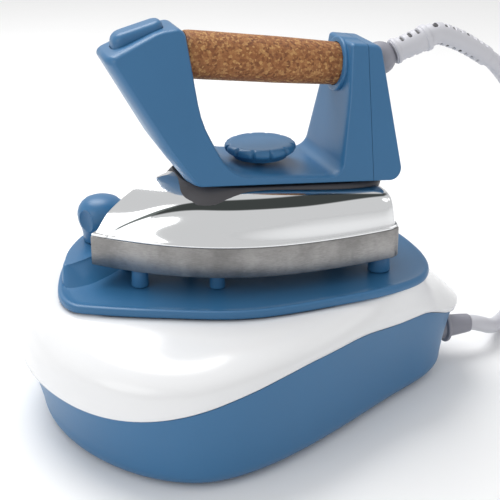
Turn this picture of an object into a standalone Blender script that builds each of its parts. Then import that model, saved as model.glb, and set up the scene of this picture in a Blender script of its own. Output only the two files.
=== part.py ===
"""Household steam generator iron: a cork-handled iron resting on its boiler station.

The iron's tip points along -X and its heel along +X. Z is up, and the feet stand on z = 0.
Lengths in this script are millimetres. Every mesh is written in metres.
"""
import math

import bmesh
import bpy
from mathutils import Matrix, Vector
from mathutils.geometry import interpolate_bezier

MM = 0.001
WELD = 0.000002
GAP = 0.3                     # clearance between touching pieces
WALL = 3.0                    # moulded shell thickness

# Station hull
HULL_FLOOR = 1.5              # underside of the lower housing
HULL_ROUND = 12.0             # radius of the rounded bottom edge
HULL_SEGMENTS = 52
PLATE_UNDER = 93.0
PLATE_TRAY = 98.0
DECK_TOP = 110.5
PAD_TOP = 110.7
REAR_GLAND_Z = 24.0

# Iron
SOLE_BOTTOM = 111.0
SOLE_THICKNESS = 21.0
SOLE_TIP = -108.5
SOLE_HEEL = 96.5
SOLE_HALF_WIDTH = 58.7
SOLE_HEEL_HALF_WIDTH = 51.4
SOLE_WIDEST = 0.65            # share of the length behind the tip where it is widest
SOLE_TAPER = 2.22             # exponent of the sole's outline
SOLE_TOP = SOLE_BOTTOM + SOLE_THICKNESS
CHROME_WALL = 1.2
CHROME_NOSE_RISE = 37.7       # height of the cover over the sole, ahead of the handle
CHROME_HEEL_RISE = 25.5

# Handle and grip
HANDLE_TOP_Z = 266.0
HANDLE_TOP_HALF_WIDTH = 19.0
HANDLE_TAPER = 0.195          # half width gained for each millimetre down
HANDLE_SPLIT_X = 80.0
GRIP_CENTRE = Vector((13.0, 0.0, 244.1))
GRIP_TILT = math.atan(0.13)
GRIP_LENGTH = 112.0
GRIP_FRONT_RADIUS = 15.8
GRIP_REAR_RADIUS = 14.4
GRIP_ROD_RADIUS = 4.0

# Controls
DIAL_X = 11.6
DIAL_TOP = 187.0
DIAL_RADIUS = 24.5
DIAL_NOTCHES = 12
BUTTON_X = -72.2
BUTTON_TOP = 271.6
BUTTON_LENGTH = 33.5
BUTTON_WIDTH = 19.4
BUTTON_HEIGHT = 12.6
BUTTON_SLOPE = 0.27
BUTTON_TRAVEL = 3.0
CAP_X, CAP_Y = -91.5, 46.0
CAP_RADIUS = 17.4
BOILER_X, BOILER_Y = -66.0, 14.0
BOILER_RADIUS = 58.0
VALVE_X, VALVE_Y = 38.0, 4.0
SHAFT_RADIUS = 3.0
STEAM_TUBE_X = 86.0

# Hose
HOSE_RADIUS = 6.0
HOSE_BALL = Vector((98.0, 0.0, 238.5))
HOSE_BALL_RADIUS = 11.5
COIL_X, COIL_Y = 312.0, 5.0
COIL_RADIUS = 72.0            # middle of the turns
HOSE_EXIT = Vector((180.75, 0.0, 233.75))
HOSE_EXIT_AXIS = Vector((0.826, 0.0, -0.563))
HOSE_UPPER_ROUTE = [
    (187, 0, 229.5), (197, -1, 218.5), (209, -4, 201), (220, -9, 176), (230, -16, 146), (239, -26, 114),
    (248, -38, 84), (260, -50, 58), (277, -60, 40), (297, -66, 32.5), (312, -67, 30.6)]
HOSE_LOWER_ROUTE = [
    (188, 0, 23.8), (198, 2, 18), (208, 9, 10.5), (214, 22, 6.8), (217, 40, 6.3), (227, 54, 6.3)]
HOSE_LOWER_END = Vector((238.3, 48.2, 6.3))


def fresh_collection(name):
    """A collection of this name, linked to the scene."""
    collection = bpy.data.collections.get(name) or bpy.data.collections.new(name)
    if collection.name not in bpy.context.scene.collection.children:
        bpy.context.scene.collection.children.link(collection)
    return collection


for old in list(bpy.data.objects):
    bpy.data.objects.remove(old, do_unlink=True)
PARTS = fresh_collection("steam_generator_iron")
CUTTERS = fresh_collection("cutters")


def material(name, colour, roughness, metallic=0.0):
    """A Principled material."""
    mat = bpy.data.materials.get(name) or bpy.data.materials.new(name)
    mat.use_nodes = True
    shader = mat.node_tree.nodes["Principled BSDF"]
    shader.inputs["Base Color"].default_value = (*colour, 1.0)
    shader.inputs["Roughness"].default_value = roughness
    shader.inputs["Metallic"].default_value = metallic
    return mat


BLUE = material("blue_plastic", (0.055, 0.18, 0.38), 0.38)
WHITE = material("white_plastic", (0.85, 0.85, 0.86), 0.15)
CHROME = material("polished_chrome", (0.8, 0.8, 0.82), 0.06, 1.0)
ALUMINIUM = material("brushed_aluminium", (0.55, 0.55, 0.56), 0.32, 1.0)
SHIELD = material("charcoal_plastic", (0.045, 0.045, 0.05), 0.5)
CORK = material("cork", (0.42, 0.22, 0.09), 0.85)
GREY = material("grey_rubber", (0.36, 0.36, 0.40), 0.55)
HOSE = material("hose_rubber", (0.72, 0.72, 0.75), 0.5)
BLACK = material("black_rubber", (0.02, 0.02, 0.02), 0.7)
STEEL = material("steel", (0.55, 0.55, 0.55), 0.3, 1.0)
STAINLESS = material("stainless_steel", (0.6, 0.6, 0.6), 0.25, 1.0)
BRASS = material("brass", (0.7, 0.5, 0.2), 0.3, 1.0)
COPPER = material("copper_tube", (0.72, 0.35, 0.2), 0.3, 1.0)
CERAMIC = material("ceramic", (0.8, 0.78, 0.7), 0.6)
SWITCH = material("switch_black", (0.015, 0.015, 0.017), 0.35)
LAMP = material("lamp_amber", (0.9, 0.35, 0.05), 0.15)
SILICONE = material("silicone", (0.75, 0.2, 0.12), 0.5)
CUTTER = material("cutter", (1.0, 0.0, 0.0), 0.5)


# Building helpers

def to_object(name, bm, mat):
    """Weld, orient and link a bmesh as one object."""
    bmesh.ops.remove_doubles(bm, verts=bm.verts, dist=WELD)
    bmesh.ops.recalc_face_normals(bm, faces=bm.faces)
    mesh = bpy.data.meshes.new(name)
    bm.to_mesh(mesh)
    bm.free()
    mesh.materials.append(mat)
    mesh.shade_smooth()
    mesh.set_sharp_from_angle(angle=math.radians(35))
    obj = bpy.data.objects.new(name, mesh)
    if mat is CUTTER:
        obj.hide_render = True
        obj.display_type = "WIRE"
    (CUTTERS if mat is CUTTER else PARTS).objects.link(obj)
    return obj


def bake(obj):
    """Replace an object by the closed mesh that its modifiers make."""
    bpy.context.view_layer.update()
    graph = bpy.context.evaluated_depsgraph_get()
    mesh = bpy.data.meshes.new_from_object(obj.evaluated_get(graph), depsgraph=graph)
    bm = bmesh.new()
    bm.from_mesh(mesh)
    bm.transform(obj.matrix_world)
    mat = obj.data.materials[0]
    name = obj.name
    bpy.data.objects.remove(obj, do_unlink=True)
    bpy.data.meshes.remove(mesh)
    return to_object(name, bm, mat)


def loft(name, rings, mat, closed=False):
    """Skin a row of equal rings; closed joins the last ring to the first, otherwise the ends are capped."""
    bm = bmesh.new()
    rows = [[bm.verts.new(Vector(point) * MM) for point in ring] for ring in rings]
    pairs = list(zip(rows, rows[1:]))
    if closed:
        pairs.append((rows[-1], rows[0]))
    else:
        bm.faces.new(rows[0])
        bm.faces.new(rows[-1])
    for low, high in pairs:
        for i, vertex in enumerate(low):
            j = (i + 1) % len(low)
            bm.faces.new((vertex, low[j], high[j], high[i]))
    return to_object(name, bm, mat)


def place(bm, centre, axis):
    """Turn a bmesh from Z to the given axis and move it to its centre."""
    turn = Vector((0, 0, 1)).rotation_difference(Vector(axis)).to_matrix().to_4x4()
    bm.transform(Matrix.Translation(Vector(centre) * MM) @ turn)


def cylinder(name, radius, depth, centre, mat, axis=(0, 0, 1), segments=24, top_radius=None, bevel=0.0):
    """A cylinder or cone about its centre."""
    bm = bmesh.new()
    bmesh.ops.create_cone(bm, cap_ends=True, segments=segments, radius1=radius * MM,
                          radius2=(radius if top_radius is None else top_radius) * MM, depth=depth * MM)
    if bevel:
        rims = [e for e in bm.edges if abs(e.verts[0].co.z - e.verts[1].co.z) < 1e-7]
        bmesh.ops.bevel(bm, geom=rims, offset=bevel * MM, segments=2, affect="EDGES", profile=0.5)
    place(bm, centre, axis)
    return to_object(name, bm, mat)


def box(name, size, centre, mat, bevel=0.0, turn=0.0, tilt=0.0):
    """A box, turned about Z and tilted about Y, with rounded edges if asked."""
    bm = bmesh.new()
    bmesh.ops.create_cube(bm, size=MM)
    bmesh.ops.scale(bm, vec=Vector(size), verts=bm.verts)
    if bevel:
        bmesh.ops.bevel(bm, geom=bm.edges[:], offset=bevel * MM, segments=2, affect="EDGES", profile=0.5)
    bm.transform(Matrix.Rotation(turn, 4, "Z") @ Matrix.Rotation(tilt, 4, "Y"))
    bm.transform(Matrix.Translation(Vector(centre) * MM))
    return to_object(name, bm, mat)


def turned(name, profile, mat, centre=(0, 0, 0), axis=(0, 0, 1), segments=32, ring=False):
    """A turned piece: (radius, height) profile points, swept by a Screw modifier."""
    mesh = bpy.data.meshes.new(name)
    edges = [(i, i + 1) for i in range(len(profile) - 1)]
    if ring:
        edges.append((len(profile) - 1, 0))
    mesh.from_pydata([(r * MM, 0, z * MM) for r, z in profile], edges, [])
    mesh.materials.append(mat)
    obj = bpy.data.objects.new(name, mesh)
    PARTS.objects.link(obj)
    screw = obj.modifiers.new("turn", "SCREW")
    screw.steps = segments
    screw.render_steps = segments
    screw.use_merge_vertices = True
    screw.merge_threshold = 0.00001
    direction = Vector((0, 0, 1)).rotation_difference(Vector(axis))
    obj.rotation_mode = "QUATERNION"
    obj.rotation_quaternion = direction
    obj.location = Vector(centre) * MM
    return bake(obj)


def tube(name, points, radius, mat, resolution=2, keep_curve=False):
    """A round tube with filled caps along a POLY spline."""
    curve = bpy.data.curves.new(name, "CURVE")
    curve.dimensions = "3D"
    curve.bevel_depth = radius * MM
    curve.bevel_resolution = resolution
    curve.use_fill_caps = True
    spline = curve.splines.new("POLY")
    spline.points.add(len(points) - 1)
    for spot, point in zip(spline.points, points):
        spot.co = (*(Vector(point) * MM), 1.0)
    curve.materials.append(mat)
    obj = bpy.data.objects.new(name, curve)
    PARTS.objects.link(obj)
    return obj if keep_curve else bake(obj)


def smooth_route(points, spacing):
    """Points a regular distance apart on a Catmull-Rom curve through the route's own points."""
    spots = [Vector(p) for p in points]
    ends = [2 * spots[0] - spots[1]] + spots + [2 * spots[-1] - spots[-2]]
    dense = []
    for a, b, c, d in zip(ends, ends[1:], ends[2:], ends[3:]):
        dense += interpolate_bezier(b, b + (c - a) / 6, c - (d - b) / 6, c, 24)[:-1]
    dense.append(spots[-1])
    lengths = [0.0]
    for p, q in zip(dense, dense[1:]):
        lengths.append(lengths[-1] + (q - p).length)
    count = max(2, round(lengths[-1] / spacing))
    route = []
    for step in range(count + 1):
        target = lengths[-1] * step / count
        index = next(i for i, reach in enumerate(lengths) if reach >= target - 1e-9)
        if index == 0:
            route.append(dense[0])
            continue
        span = lengths[index] - lengths[index - 1]
        share = (target - lengths[index - 1]) / span if span else 0.0
        route.append(dense[index - 1].lerp(dense[index], share))
    return route


def boolean(obj, other, operation="DIFFERENCE"):
    """Cut or join an object with another one."""
    modifier = obj.modifiers.new(operation.lower(), "BOOLEAN")
    modifier.operation = operation
    modifier.solver = "EXACT"
    modifier.object = other
    return obj


def join(obj, other):
    """Unite another solid with an object and drop the spare one."""
    name = obj.name
    boolean(obj, other, "UNION")
    solid = bake(obj)
    bpy.data.objects.remove(other, do_unlink=True)
    solid.name = name
    return solid


def smoothstep(value, start, end):
    """0 before start, 1 after end, with a smooth rise between."""
    t = min(max((value - start) / (end - start), 0.0), 1.0)
    return t * t * (3 - 2 * t)


# Station outlines

def bezier_path(knots):
    """Points along Bezier spans; each span is (start, handle, handle, end)."""
    path = []
    for span in knots:
        path += [Vector((p.x, p.y)) for p in interpolate_bezier(*[Vector((*p, 0)) for p in span], 20)[:-1]]
    return path


def hull_outline():
    """The station seen from above at its foot: a round front and two straight flanks to a narrow rear."""
    half = bezier_path([
        ((-143, 0), (-143, 59), (-100, 119), (-56, 119)),
        ((-56, 119), (-10, 119), (52, 73), (106, 46)),
        ((106, 46), (127, 35.5), (149, 24), (149, 0))])
    return half + [Vector((149, 0))] + [Vector((p.x, -p.y)) for p in reversed(half[1:])]


def plate_outline():
    """The rest plate: shaped like the iron on the near side, wider at the far front for the filler cap."""
    knots = [(-134, -8), (-131, -31), (-118, -42), (-77, -61), (-22, -80), (40, -79), (89, -71.5), (116, -56),
             (128, -24), (128, 24), (116, 56), (89, 71.5), (40, 79), (-22, 84), (-70, 82), (-104, 67),
             (-122, 38)]
    loop = [Vector((*p, 0)) for p in knots]
    count = len(loop)
    path = []
    for i in range(count):
        a, b, c, d = (loop[(i + k) % count] for k in (-1, 0, 1, 2))
        span = interpolate_bezier(b, b + (c - a) / 6, c - (d - b) / 6, c, 9)[:-1]
        path += [Vector((p.x, p.y)) for p in span]
    return path


def by_angle(outline, offset=0.0, lean=0.0, tail=0.0):
    """The outline at equal angles, grown by an offset and pushed out by lean at the front and tail at the rear."""
    count = len(outline)
    grown = []
    for i, point in enumerate(outline):
        along = outline[(i + 1) % count] - outline[i - 1]
        normal = Vector((along.y, -along.x)).normalized()
        if normal.dot(point) < 0:
            normal.negate()
        moved = point + normal * offset
        moved.x += tail * smoothstep(moved.x, 40, 150) - lean * smoothstep(-moved.x, 20, 150)
        grown.append(moved)
    grown.sort(key=lambda p: math.atan2(p.y, p.x))
    angles = [math.atan2(p.y, p.x) for p in grown]
    radii = [p.length for p in grown]
    angles = [angles[-1] - 2 * math.pi] + angles + [angles[0] + 2 * math.pi]
    radii = [radii[-1]] + radii + [radii[0]]
    ring = []
    for step in range(HULL_SEGMENTS):
        angle = -math.pi + 2 * math.pi * (step + 0.5) / HULL_SEGMENTS
        index = next(i for i, a in enumerate(angles) if a >= angle)
        share = (angle - angles[index - 1]) / (angles[index] - angles[index - 1])
        radius = radii[index - 1] + (radii[index] - radii[index - 1]) * share
        ring.append(Vector((radius * math.cos(angle), radius * math.sin(angle))))
    return ring


def parting_height(x):
    """Height of the line where the white shell meets the blue one: low at the front, high along the flanks."""
    crest = 3.5 * smoothstep(x, -35, 15) * (1 - smoothstep(x, 45, 95))
    drop = 4.0 * smoothstep(x, 54, 120) + 15.0 * smoothstep(x, 114, 160)
    return 45.0 + 24.0 * smoothstep(x, -141, -11) + crest - drop


def bulge_height(x):
    """Height of the station's widest line."""
    return 66.0 + 11.0 * smoothstep(x, -120, -20) - 20.0 * smoothstep(x, 85, 162)


def raised(ring, height):
    """A ring of 3-D points; the height is a number or a function of x."""
    return [(p.x, p.y, height(p.x) if callable(height) else height) for p in ring]


FOOT_LINE = hull_outline()
PLATE_LINE = plate_outline()


# share of the wall's height, offset, lean, tail
WALL_STATIONS = ((0.0, 7.5, -4.0, -3.0), (0.5, 9.3, -2.2, -2.5), (1.0, 11.0, 1.0, 1.0))


def lower_housing():
    """Blue tub with a rounded bottom edge, raked ends and a wavy rim."""
    def wall(share, offset, lean, tail, thickness=0.0):
        base = HULL_FLOOR + HULL_ROUND
        ring = by_angle(FOOT_LINE, offset - thickness, lean, tail)
        return raised(ring, lambda x: base + (parting_height(x) - GAP / 2 - base) * share)

    def corner(angle, radius, floor):
        swing = math.radians(angle)
        offset = WALL_STATIONS[0][1] - HULL_ROUND + radius * math.sin(swing)
        ring = by_angle(FOOT_LINE, offset, WALL_STATIONS[0][2] * math.sin(swing), WALL_STATIONS[0][3])
        return raised(ring, floor + radius * (1 - math.cos(swing)))

    rings = [corner(angle, HULL_ROUND, HULL_FLOOR) for angle in (0, 32, 62)]
    rings += [wall(*station) for station in WALL_STATIONS]
    rings += [wall(*station, WALL) for station in (WALL_STATIONS[2], WALL_STATIONS[0])]
    rings.append(corner(0, HULL_ROUND - WALL, HULL_FLOOR + WALL))
    return loft("lower_housing", rings, BLUE)


def upper_housing():
    """White shell: a rolled lower edge, the widest line, and a dome up to the rest plate."""
    foot = GAP

    def dome(thickness, angle, rise):
        low = by_angle(FOOT_LINE, 13.5 - thickness, 3.6, 2.6)
        high = by_angle(PLATE_LINE, -3.0 - thickness)
        swing = math.radians(angle)
        ring = []
        for l, h in zip(low, high):
            flat = smoothstep(l.x, 50, 140)
            climb = math.sin(swing)
            share = (1 - flat) * math.cos(swing) + flat * (1 - climb) if angle < 90 else 0.0
            spot = h + (l - h) * share
            ring.append((spot.x, spot.y, bulge_height(l.x) + (rise - bulge_height(l.x)) * climb))
        return ring

    rings = [raised(by_angle(FOOT_LINE, 9.0, 1.4, 1.2), lambda x: parting_height(x) + foot),
             raised(by_angle(FOOT_LINE, 11.6, 2.0, 1.6), lambda x: parting_height(x) + foot + 0.6),
             raised(by_angle(FOOT_LINE, 13.0, 3.0, 2.2), lambda x: parting_height(x) + foot + 2.4)]
    rings += [dome(0.0, angle, PLATE_UNDER - GAP) for angle in (0, 22, 44, 67, 90)]
    rings += [dome(WALL, angle, PLATE_UNDER - GAP - WALL * 0.6) for angle in (90, 45, 0)]
    rings.append(raised(by_angle(FOOT_LINE, 8.4, 1.2, 1.0), lambda x: parting_height(x) + foot + 1.6))
    return loft("upper_housing", rings, WHITE, closed=True)


def rest_plate():
    """Blue tray that carries the hot iron, with a raised deck for the filler cap."""
    rings = [raised(by_angle(PLATE_LINE, -4.0), PLATE_UNDER),
             raised(by_angle(PLATE_LINE, -0.6), PLATE_UNDER + 0.9),
             raised(by_angle(PLATE_LINE, 0.0), PLATE_UNDER + 3.0),
             raised(by_angle(PLATE_LINE, -0.4), PLATE_TRAY + 0.2),
             raised(by_angle(PLATE_LINE, -2.4), PLATE_TRAY + 1.2),
             raised(by_angle(PLATE_LINE, -9.0), PLATE_TRAY)]
    plate = loft("rest_plate", rings, BLUE)
    deck_foot = [(-128.5, -3), (-126, 18), (-119, 37), (-104, 61), (-84, 75), (-62, 80), (-38, 82), (-40, 60),
                 (-60, 40), (-80, 22), (-96, 8), (-112, -3)]
    deck_edge = [(-126.5, 6), (-124, 18), (-117.5, 36), (-103, 59.5), (-84, 73), (-64, 77), (-54, 77), (-54, 66),
                 (-68, 49), (-84, 35), (-99, 21), (-113, 11)]
    rings = [[(x, y, z) for x, y in line] for line, z in
             ((deck_foot, PLATE_TRAY - 2.0), (deck_edge, DECK_TOP - 1.2))]
    cx, cy = -92.0, 45.0
    rings.append([(cx + (x - cx) * 0.965, cy + (y - cy) * 0.965, DECK_TOP) for x, y in deck_edge])
    plate = join(plate, loft("deck", rings, BLUE))
    boolean(plate, cylinder("neck_bore", 11.6, 40, (CAP_X, CAP_Y, 100), CUTTER, segments=28))
    return plate


def rest_pads():
    """Six heat-proof pads that hold the sole clear of the tray."""
    spots = {"front": (-79, 15.5, 6.0), "middle": (-30, 34, 5.5), "rear": (86, 40, 8.0)}
    pads = []
    for place_name, (x, y, radius) in spots.items():
        for side, sign in (("near", -1), ("far", 1)):
            height = PAD_TOP - PLATE_TRAY - GAP
            pads.append(cylinder(f"rest_pad_{place_name}_{side}", radius, height,
                                 (x, sign * y, PLATE_TRAY + GAP + height / 2), BLUE, segments=16,
                                 top_radius=radius * 0.88))
    return pads


# Filler and boiler

def filler_cap():
    """Screw cap: a knob with two thumb hollows, its threaded plug and its seal."""
    top = DECK_TOP + 33.0
    profile = [(0, top), (6, top - 0.4), (11.5, top - 2.4), (15.2, top - 6.2), (CAP_RADIUS, top - 12),
               (CAP_RADIUS - 0.6, top - 18), (14.6, top - 24), (14.0, top - 30), (14.2, DECK_TOP + 0.9),
               (13.4, DECK_TOP + 0.5), (6.4, DECK_TOP + 0.5), (6.4, DECK_TOP + 14), (0, DECK_TOP + 14)]
    knob = turned("cap_knob", profile, BLUE, (CAP_X, CAP_Y, 0), segments=24)
    for sign in (-1, 1):
        spot = (CAP_X - 0.82 * sign * 23.0, CAP_Y - 0.57 * sign * 23.0, top - 15.5)
        scoop = turned(f"thumb_hollow_{sign + 1}", [(0, 14), (5.5, 11.5), (8.6, 6.5), (9.6, 0), (8.6, -6.5),
                                                    (5.5, -11.5), (0, -14)], CUTTER, spot, segments=20)
        boolean(knob, scoop)
    plug = [(0, DECK_TOP + 13.5), (6.0, DECK_TOP + 13.5), (6.0, 104), (7.9, 103.6), (7.9, 90), (6.6, 88.5),
            (0, 88.5)]
    turned("cap_plug", plug, BRASS, (CAP_X, CAP_Y, 0), segments=20)
    seal = [(10.6, DECK_TOP + 0.1), (10.6, 108.4), (8.3, 108.4), (8.3, DECK_TOP + 0.1)]
    turned("cap_seal", seal, SILICONE, (CAP_X, CAP_Y, 0), segments=20, ring=True)
    neck = [(11.0, 108.1), (11.0, 86.6), (15.0, 86.6), (15.0, 84.3), (8.2, 84.3), (8.2, 108.1)]
    turned("filler_neck", neck, BRASS, (CAP_X, CAP_Y, 0), segments=24, ring=True)


def boiler():
    """Two pressed half shells with a flange, a ring heater under them, and their fittings."""
    r = BOILER_RADIUS
    lower = [(0, 17.6), (r - 14.6, 17.6), (r - 1.6, 28.6), (r - 1.6, 48.6), (r + 5, 48.6), (r + 5, 47), (r, 47),
             (r, 28), (r - 14, 16), (0, 16)]
    turned("boiler_lower_shell", lower, STAINLESS, (BOILER_X, BOILER_Y, 0), segments=28)
    upper = [(0, 84), (r - 12, 84), (r, 73), (r, 50.8), (r + 5, 50.8), (r + 5, 49.2), (r - 1.6, 49.2),
             (r - 1.6, 72.4), (r - 12.6, 82.4), (0, 82.4)]
    shell = turned("boiler_upper_shell", upper, STAINLESS, (BOILER_X, BOILER_Y, 0), segments=28)
    boolean(shell, cylinder("filler_hole", 7.0, 20, (CAP_X, CAP_Y, 80), CUTTER, segments=16))
    boolean(shell, cylinder("steam_outlet_hole", 2.0, 10, (BOILER_X + 32, BOILER_Y, 83), CUTTER, segments=10))
    ring = [(BOILER_X + 40 * math.cos(a), BOILER_Y + 40 * math.sin(a), 11.8)
            for a in (math.radians(20 + 320 * i / 18) for i in range(19))]
    start, end = Vector(ring[0]), Vector(ring[-1])
    ring = [start + Vector((22, 3, 0))] + ring + [end + Vector((22, -3, 0))]
    tube("boiler_heater", ring, 3.6, STEEL, resolution=1)
    cylinder("pressure_switch", 12, 7.6, (BOILER_X + 26, BOILER_Y - 26, 84.3 + 3.9), BRASS, segments=18,
           top_radius=10)


def steam_valve():
    """Solenoid valve between the boiler and the hose, with its pipes."""
    z = 30.0
    body = box("valve_body", (26, 24, 16), (VALVE_X, VALVE_Y, z), BRASS, bevel=1.2)
    boolean(body, cylinder("plunger_bore", 5.3, 20, (VALVE_X, VALVE_Y, z + 6), CUTTER, segments=16))
    coil = box("valve_coil", (27, 25, 26), (VALVE_X, VALVE_Y, z + 8 + GAP + 13), SWITCH, bevel=1.5)
    boolean(coil, cylinder("coil_bore", 5.3, 23, (VALVE_X, VALVE_Y, z + 8 + 11), CUTTER, segments=16))
    cylinder("valve_plunger", 5.0, 20, (VALVE_X, VALVE_Y, z + 8.4), STEEL, segments=16)
    spring = [(VALVE_X + 3.4 * math.cos(a), VALVE_Y + 3.4 * math.sin(a), 49.3 + 9.4 * i / 24)
              for i, a in ((i, math.radians(72 * i)) for i in range(25))]
    tube("valve_spring", spring, 0.45, STEEL, resolution=0)
    inlet = smooth_route([(BOILER_X + 32, BOILER_Y, 86.8), (BOILER_X + 37, BOILER_Y, 89.4),
                          (BOILER_X + 48, BOILER_Y - 1, 89.6), (-3, 11, 87.6), (5, 9, 79), (10, 7, 60),
                          (12, 5, 42), (15, 4, 32.5), (20, 4, 30)], 7)
    inlet = [Vector((BOILER_X + 32, BOILER_Y, 84.3))] + inlet + [Vector((VALVE_X - 13.3, VALVE_Y, 30))]
    tube("boiler_steam_pipe", inlet, 2.6, COPPER)
    outlet = smooth_route([(51.4, 4, 30), (72, 3, 28), (100, 1, 24.4), (124, 0, REAR_GLAND_Z),
                           (138.6, 0, REAR_GLAND_Z)], 9)
    tube("outlet_steam_pipe", outlet, 2.6, COPPER)


def rear_glands(lower):
    """Hose gland in the rear nose and mains-cord gland in the far flank."""
    hose_bore = cylinder("hose_gland_bore", 9.3, 40, (150, 0, REAR_GLAND_Z), CUTTER, axis=(1, 0, 0), segments=20)
    boolean(lower, hose_bore)
    profile = [(0, 183.0), (7.2, 183.0), (8.6, 166), (8.6, 163.4), (12.0, 163.4), (12.0, 160.8), (9.0, 160.8),
               (9.0, 142), (0, 142)]
    gland = turned("hose_gland", profile, GREY, (0, 0, REAR_GLAND_Z), axis=(1, 0, 0), segments=20)
    boolean(gland, cylinder("pipe_socket", 2.9, 12, (140, 0, REAR_GLAND_Z), CUTTER, axis=(1, 0, 0), segments=12))
    flank = Vector((0.447, 0.894, 0)).normalized()
    centre = Vector((121, 50.5, 26))
    boolean(lower, cylinder("mains_gland_bore", 6.3, 30, centre, CUTTER, axis=flank, segments=16))
    profile = [(3.6, 15.0), (4.6, 4.6), (9.0, 4.4), (9.0, 2.2), (6.0, 2.0), (6.0, -9.0), (3.6, -9.0)]
    turned("mains_gland", profile, BLACK, centre + flank * 3.6, axis=flank, segments=20, ring=True)


def feet_and_screws(lower):
    """Four push-in rubber feet and the four long screws that clamp the shells to the rest plate."""
    spots = {"front_near": (-92, -60), "front_far": (-92, 60), "rear_near": (92, -30), "rear_far": (92, 30)}
    for name, (x, y) in spots.items():
        boolean(lower, cylinder(f"foot_bore_{name}", 3.3, 12, (x, y, 4), CUTTER, segments=14))
        profile = [(0, 7.4), (3.2, 7.4), (4.6, 6.2), (4.6, 4.9), (3.0, 4.9), (3.0, 1.2), (9.5, 1.2), (9.5, 0.0),
                   (0, 0.0)]
        turned(f"foot_{name}", profile, BLACK, (x, y, 0), segments=14)
    screws = {"front_near": (-36, -62), "front_far": (-18, 68), "rear_near": (74, -44), "rear_far": (74, 44)}
    for name, (x, y) in screws.items():
        boolean(lower, cylinder(f"screw_bore_{name}", 2.9, 12, (x, y, 4), CUTTER, segments=12))
        boolean(lower, cylinder(f"screw_recess_{name}", 5.0, 4, (x, y, 1.3), CUTTER, segments=16))
        top = PLATE_UNDER - GAP
        profile = [(0, top), (2.4, top), (2.5, 3.0), (4.6, 3.0), (4.6, 1.8), (0, 1.8)]
        turned(f"housing_screw_{name}", profile, STEEL, (x, y, 0), segments=12)


SWITCH_FLANK = Vector((0.447, 0.894, 0)).normalized()
SWITCH_TURN = math.atan2(SWITCH_FLANK.y, SWITCH_FLANK.x) - math.pi / 2
SWITCH_CENTRE = Vector((52.0, 87.0, 42.0))


def switch_spot(along, out, z=SWITCH_CENTRE.z):
    """A point on the switch panel: along the flank, and out from it."""
    flank_x = Vector((SWITCH_FLANK.y, -SWITCH_FLANK.x, 0))
    return Vector((SWITCH_CENTRE.x, SWITCH_CENTRE.y, z)) + flank_x * along + SWITCH_FLANK * out


def switches(lower):
    """Switch panel in the far flank with two rockers and a ready lamp."""
    opening = box("panel_opening", (58, 30, 26), switch_spot(0, 0), CUTTER, turn=SWITCH_TURN)
    boolean(lower, opening)
    panel = box("switch_panel", (57.2, 12, 25.2), switch_spot(0, -4.2), SHIELD, bevel=1.0, turn=SWITCH_TURN)
    for name, along in (("boiler", -15), ("iron", 9)):
        boolean(panel, box(f"{name}_rocker_opening", (18, 20, 21), switch_spot(along, -1.0), CUTTER,
                           turn=SWITCH_TURN))
        rocker = cylinder(f"{name}_rocker", 10.0, 16.8, switch_spot(along, -4.2),
                          SWITCH, axis=(SWITCH_FLANK.y, -SWITCH_FLANK.x, 0), segments=20, bevel=0.5)
        flat = box(f"{name}_rocker_flat", (30, 20, 30), switch_spot(along, -16.0), CUTTER, turn=SWITCH_TURN)
        boolean(rocker, flat)
    boolean(panel, cylinder("lamp_bore", 3.3, 30, switch_spot(23.2, 0), CUTTER, axis=SWITCH_FLANK, segments=14))
    lamp = [(0, 5.2), (1.8, 4.9), (3.0, 3.4), (3.0, -10), (0, -10)]
    turned("ready_lamp", lamp, LAMP, switch_spot(23.2, -1.6), axis=SWITCH_FLANK, segments=14)


# Iron

def half_width(share):
    """Half width of the iron at a share of its length behind the tip."""
    if share < SOLE_WIDEST:
        return SOLE_HALF_WIDTH * (1 - (1 - share / SOLE_WIDEST) ** SOLE_TAPER)
    back = (share - SOLE_WIDEST) / (1 - SOLE_WIDEST)
    return SOLE_HALF_WIDTH + (SOLE_HEEL_HALF_WIDTH - SOLE_HALF_WIDTH) * back * back


def iron_ring(tip, heel, inset, height, steps=14, corner=5.0):
    """The iron's outline between a tip and a heel, drawn in by an inset; height is a number or a function of x."""
    scale = 1 - inset / SOLE_HALF_WIDTH
    length = heel - tip
    side = []
    last = 1 - corner / length
    for step in range(steps + 1):
        share = last * (step / steps) ** 1.35
        side.append((tip + share * length, half_width(share) * scale))
    edge = half_width(1.0) * scale
    for angle in (45, 90):
        swing = math.radians(angle)
        side.append((heel - corner + corner * math.sin(swing), edge - corner * (1 - math.cos(swing))))
    ring = side[:1] + [(x, -y) for x, y in side[1:]] + [(x, y) for x, y in reversed(side[1:])]
    return [(x, y, height(x) if callable(height) else height) for x, y in ring]


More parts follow.
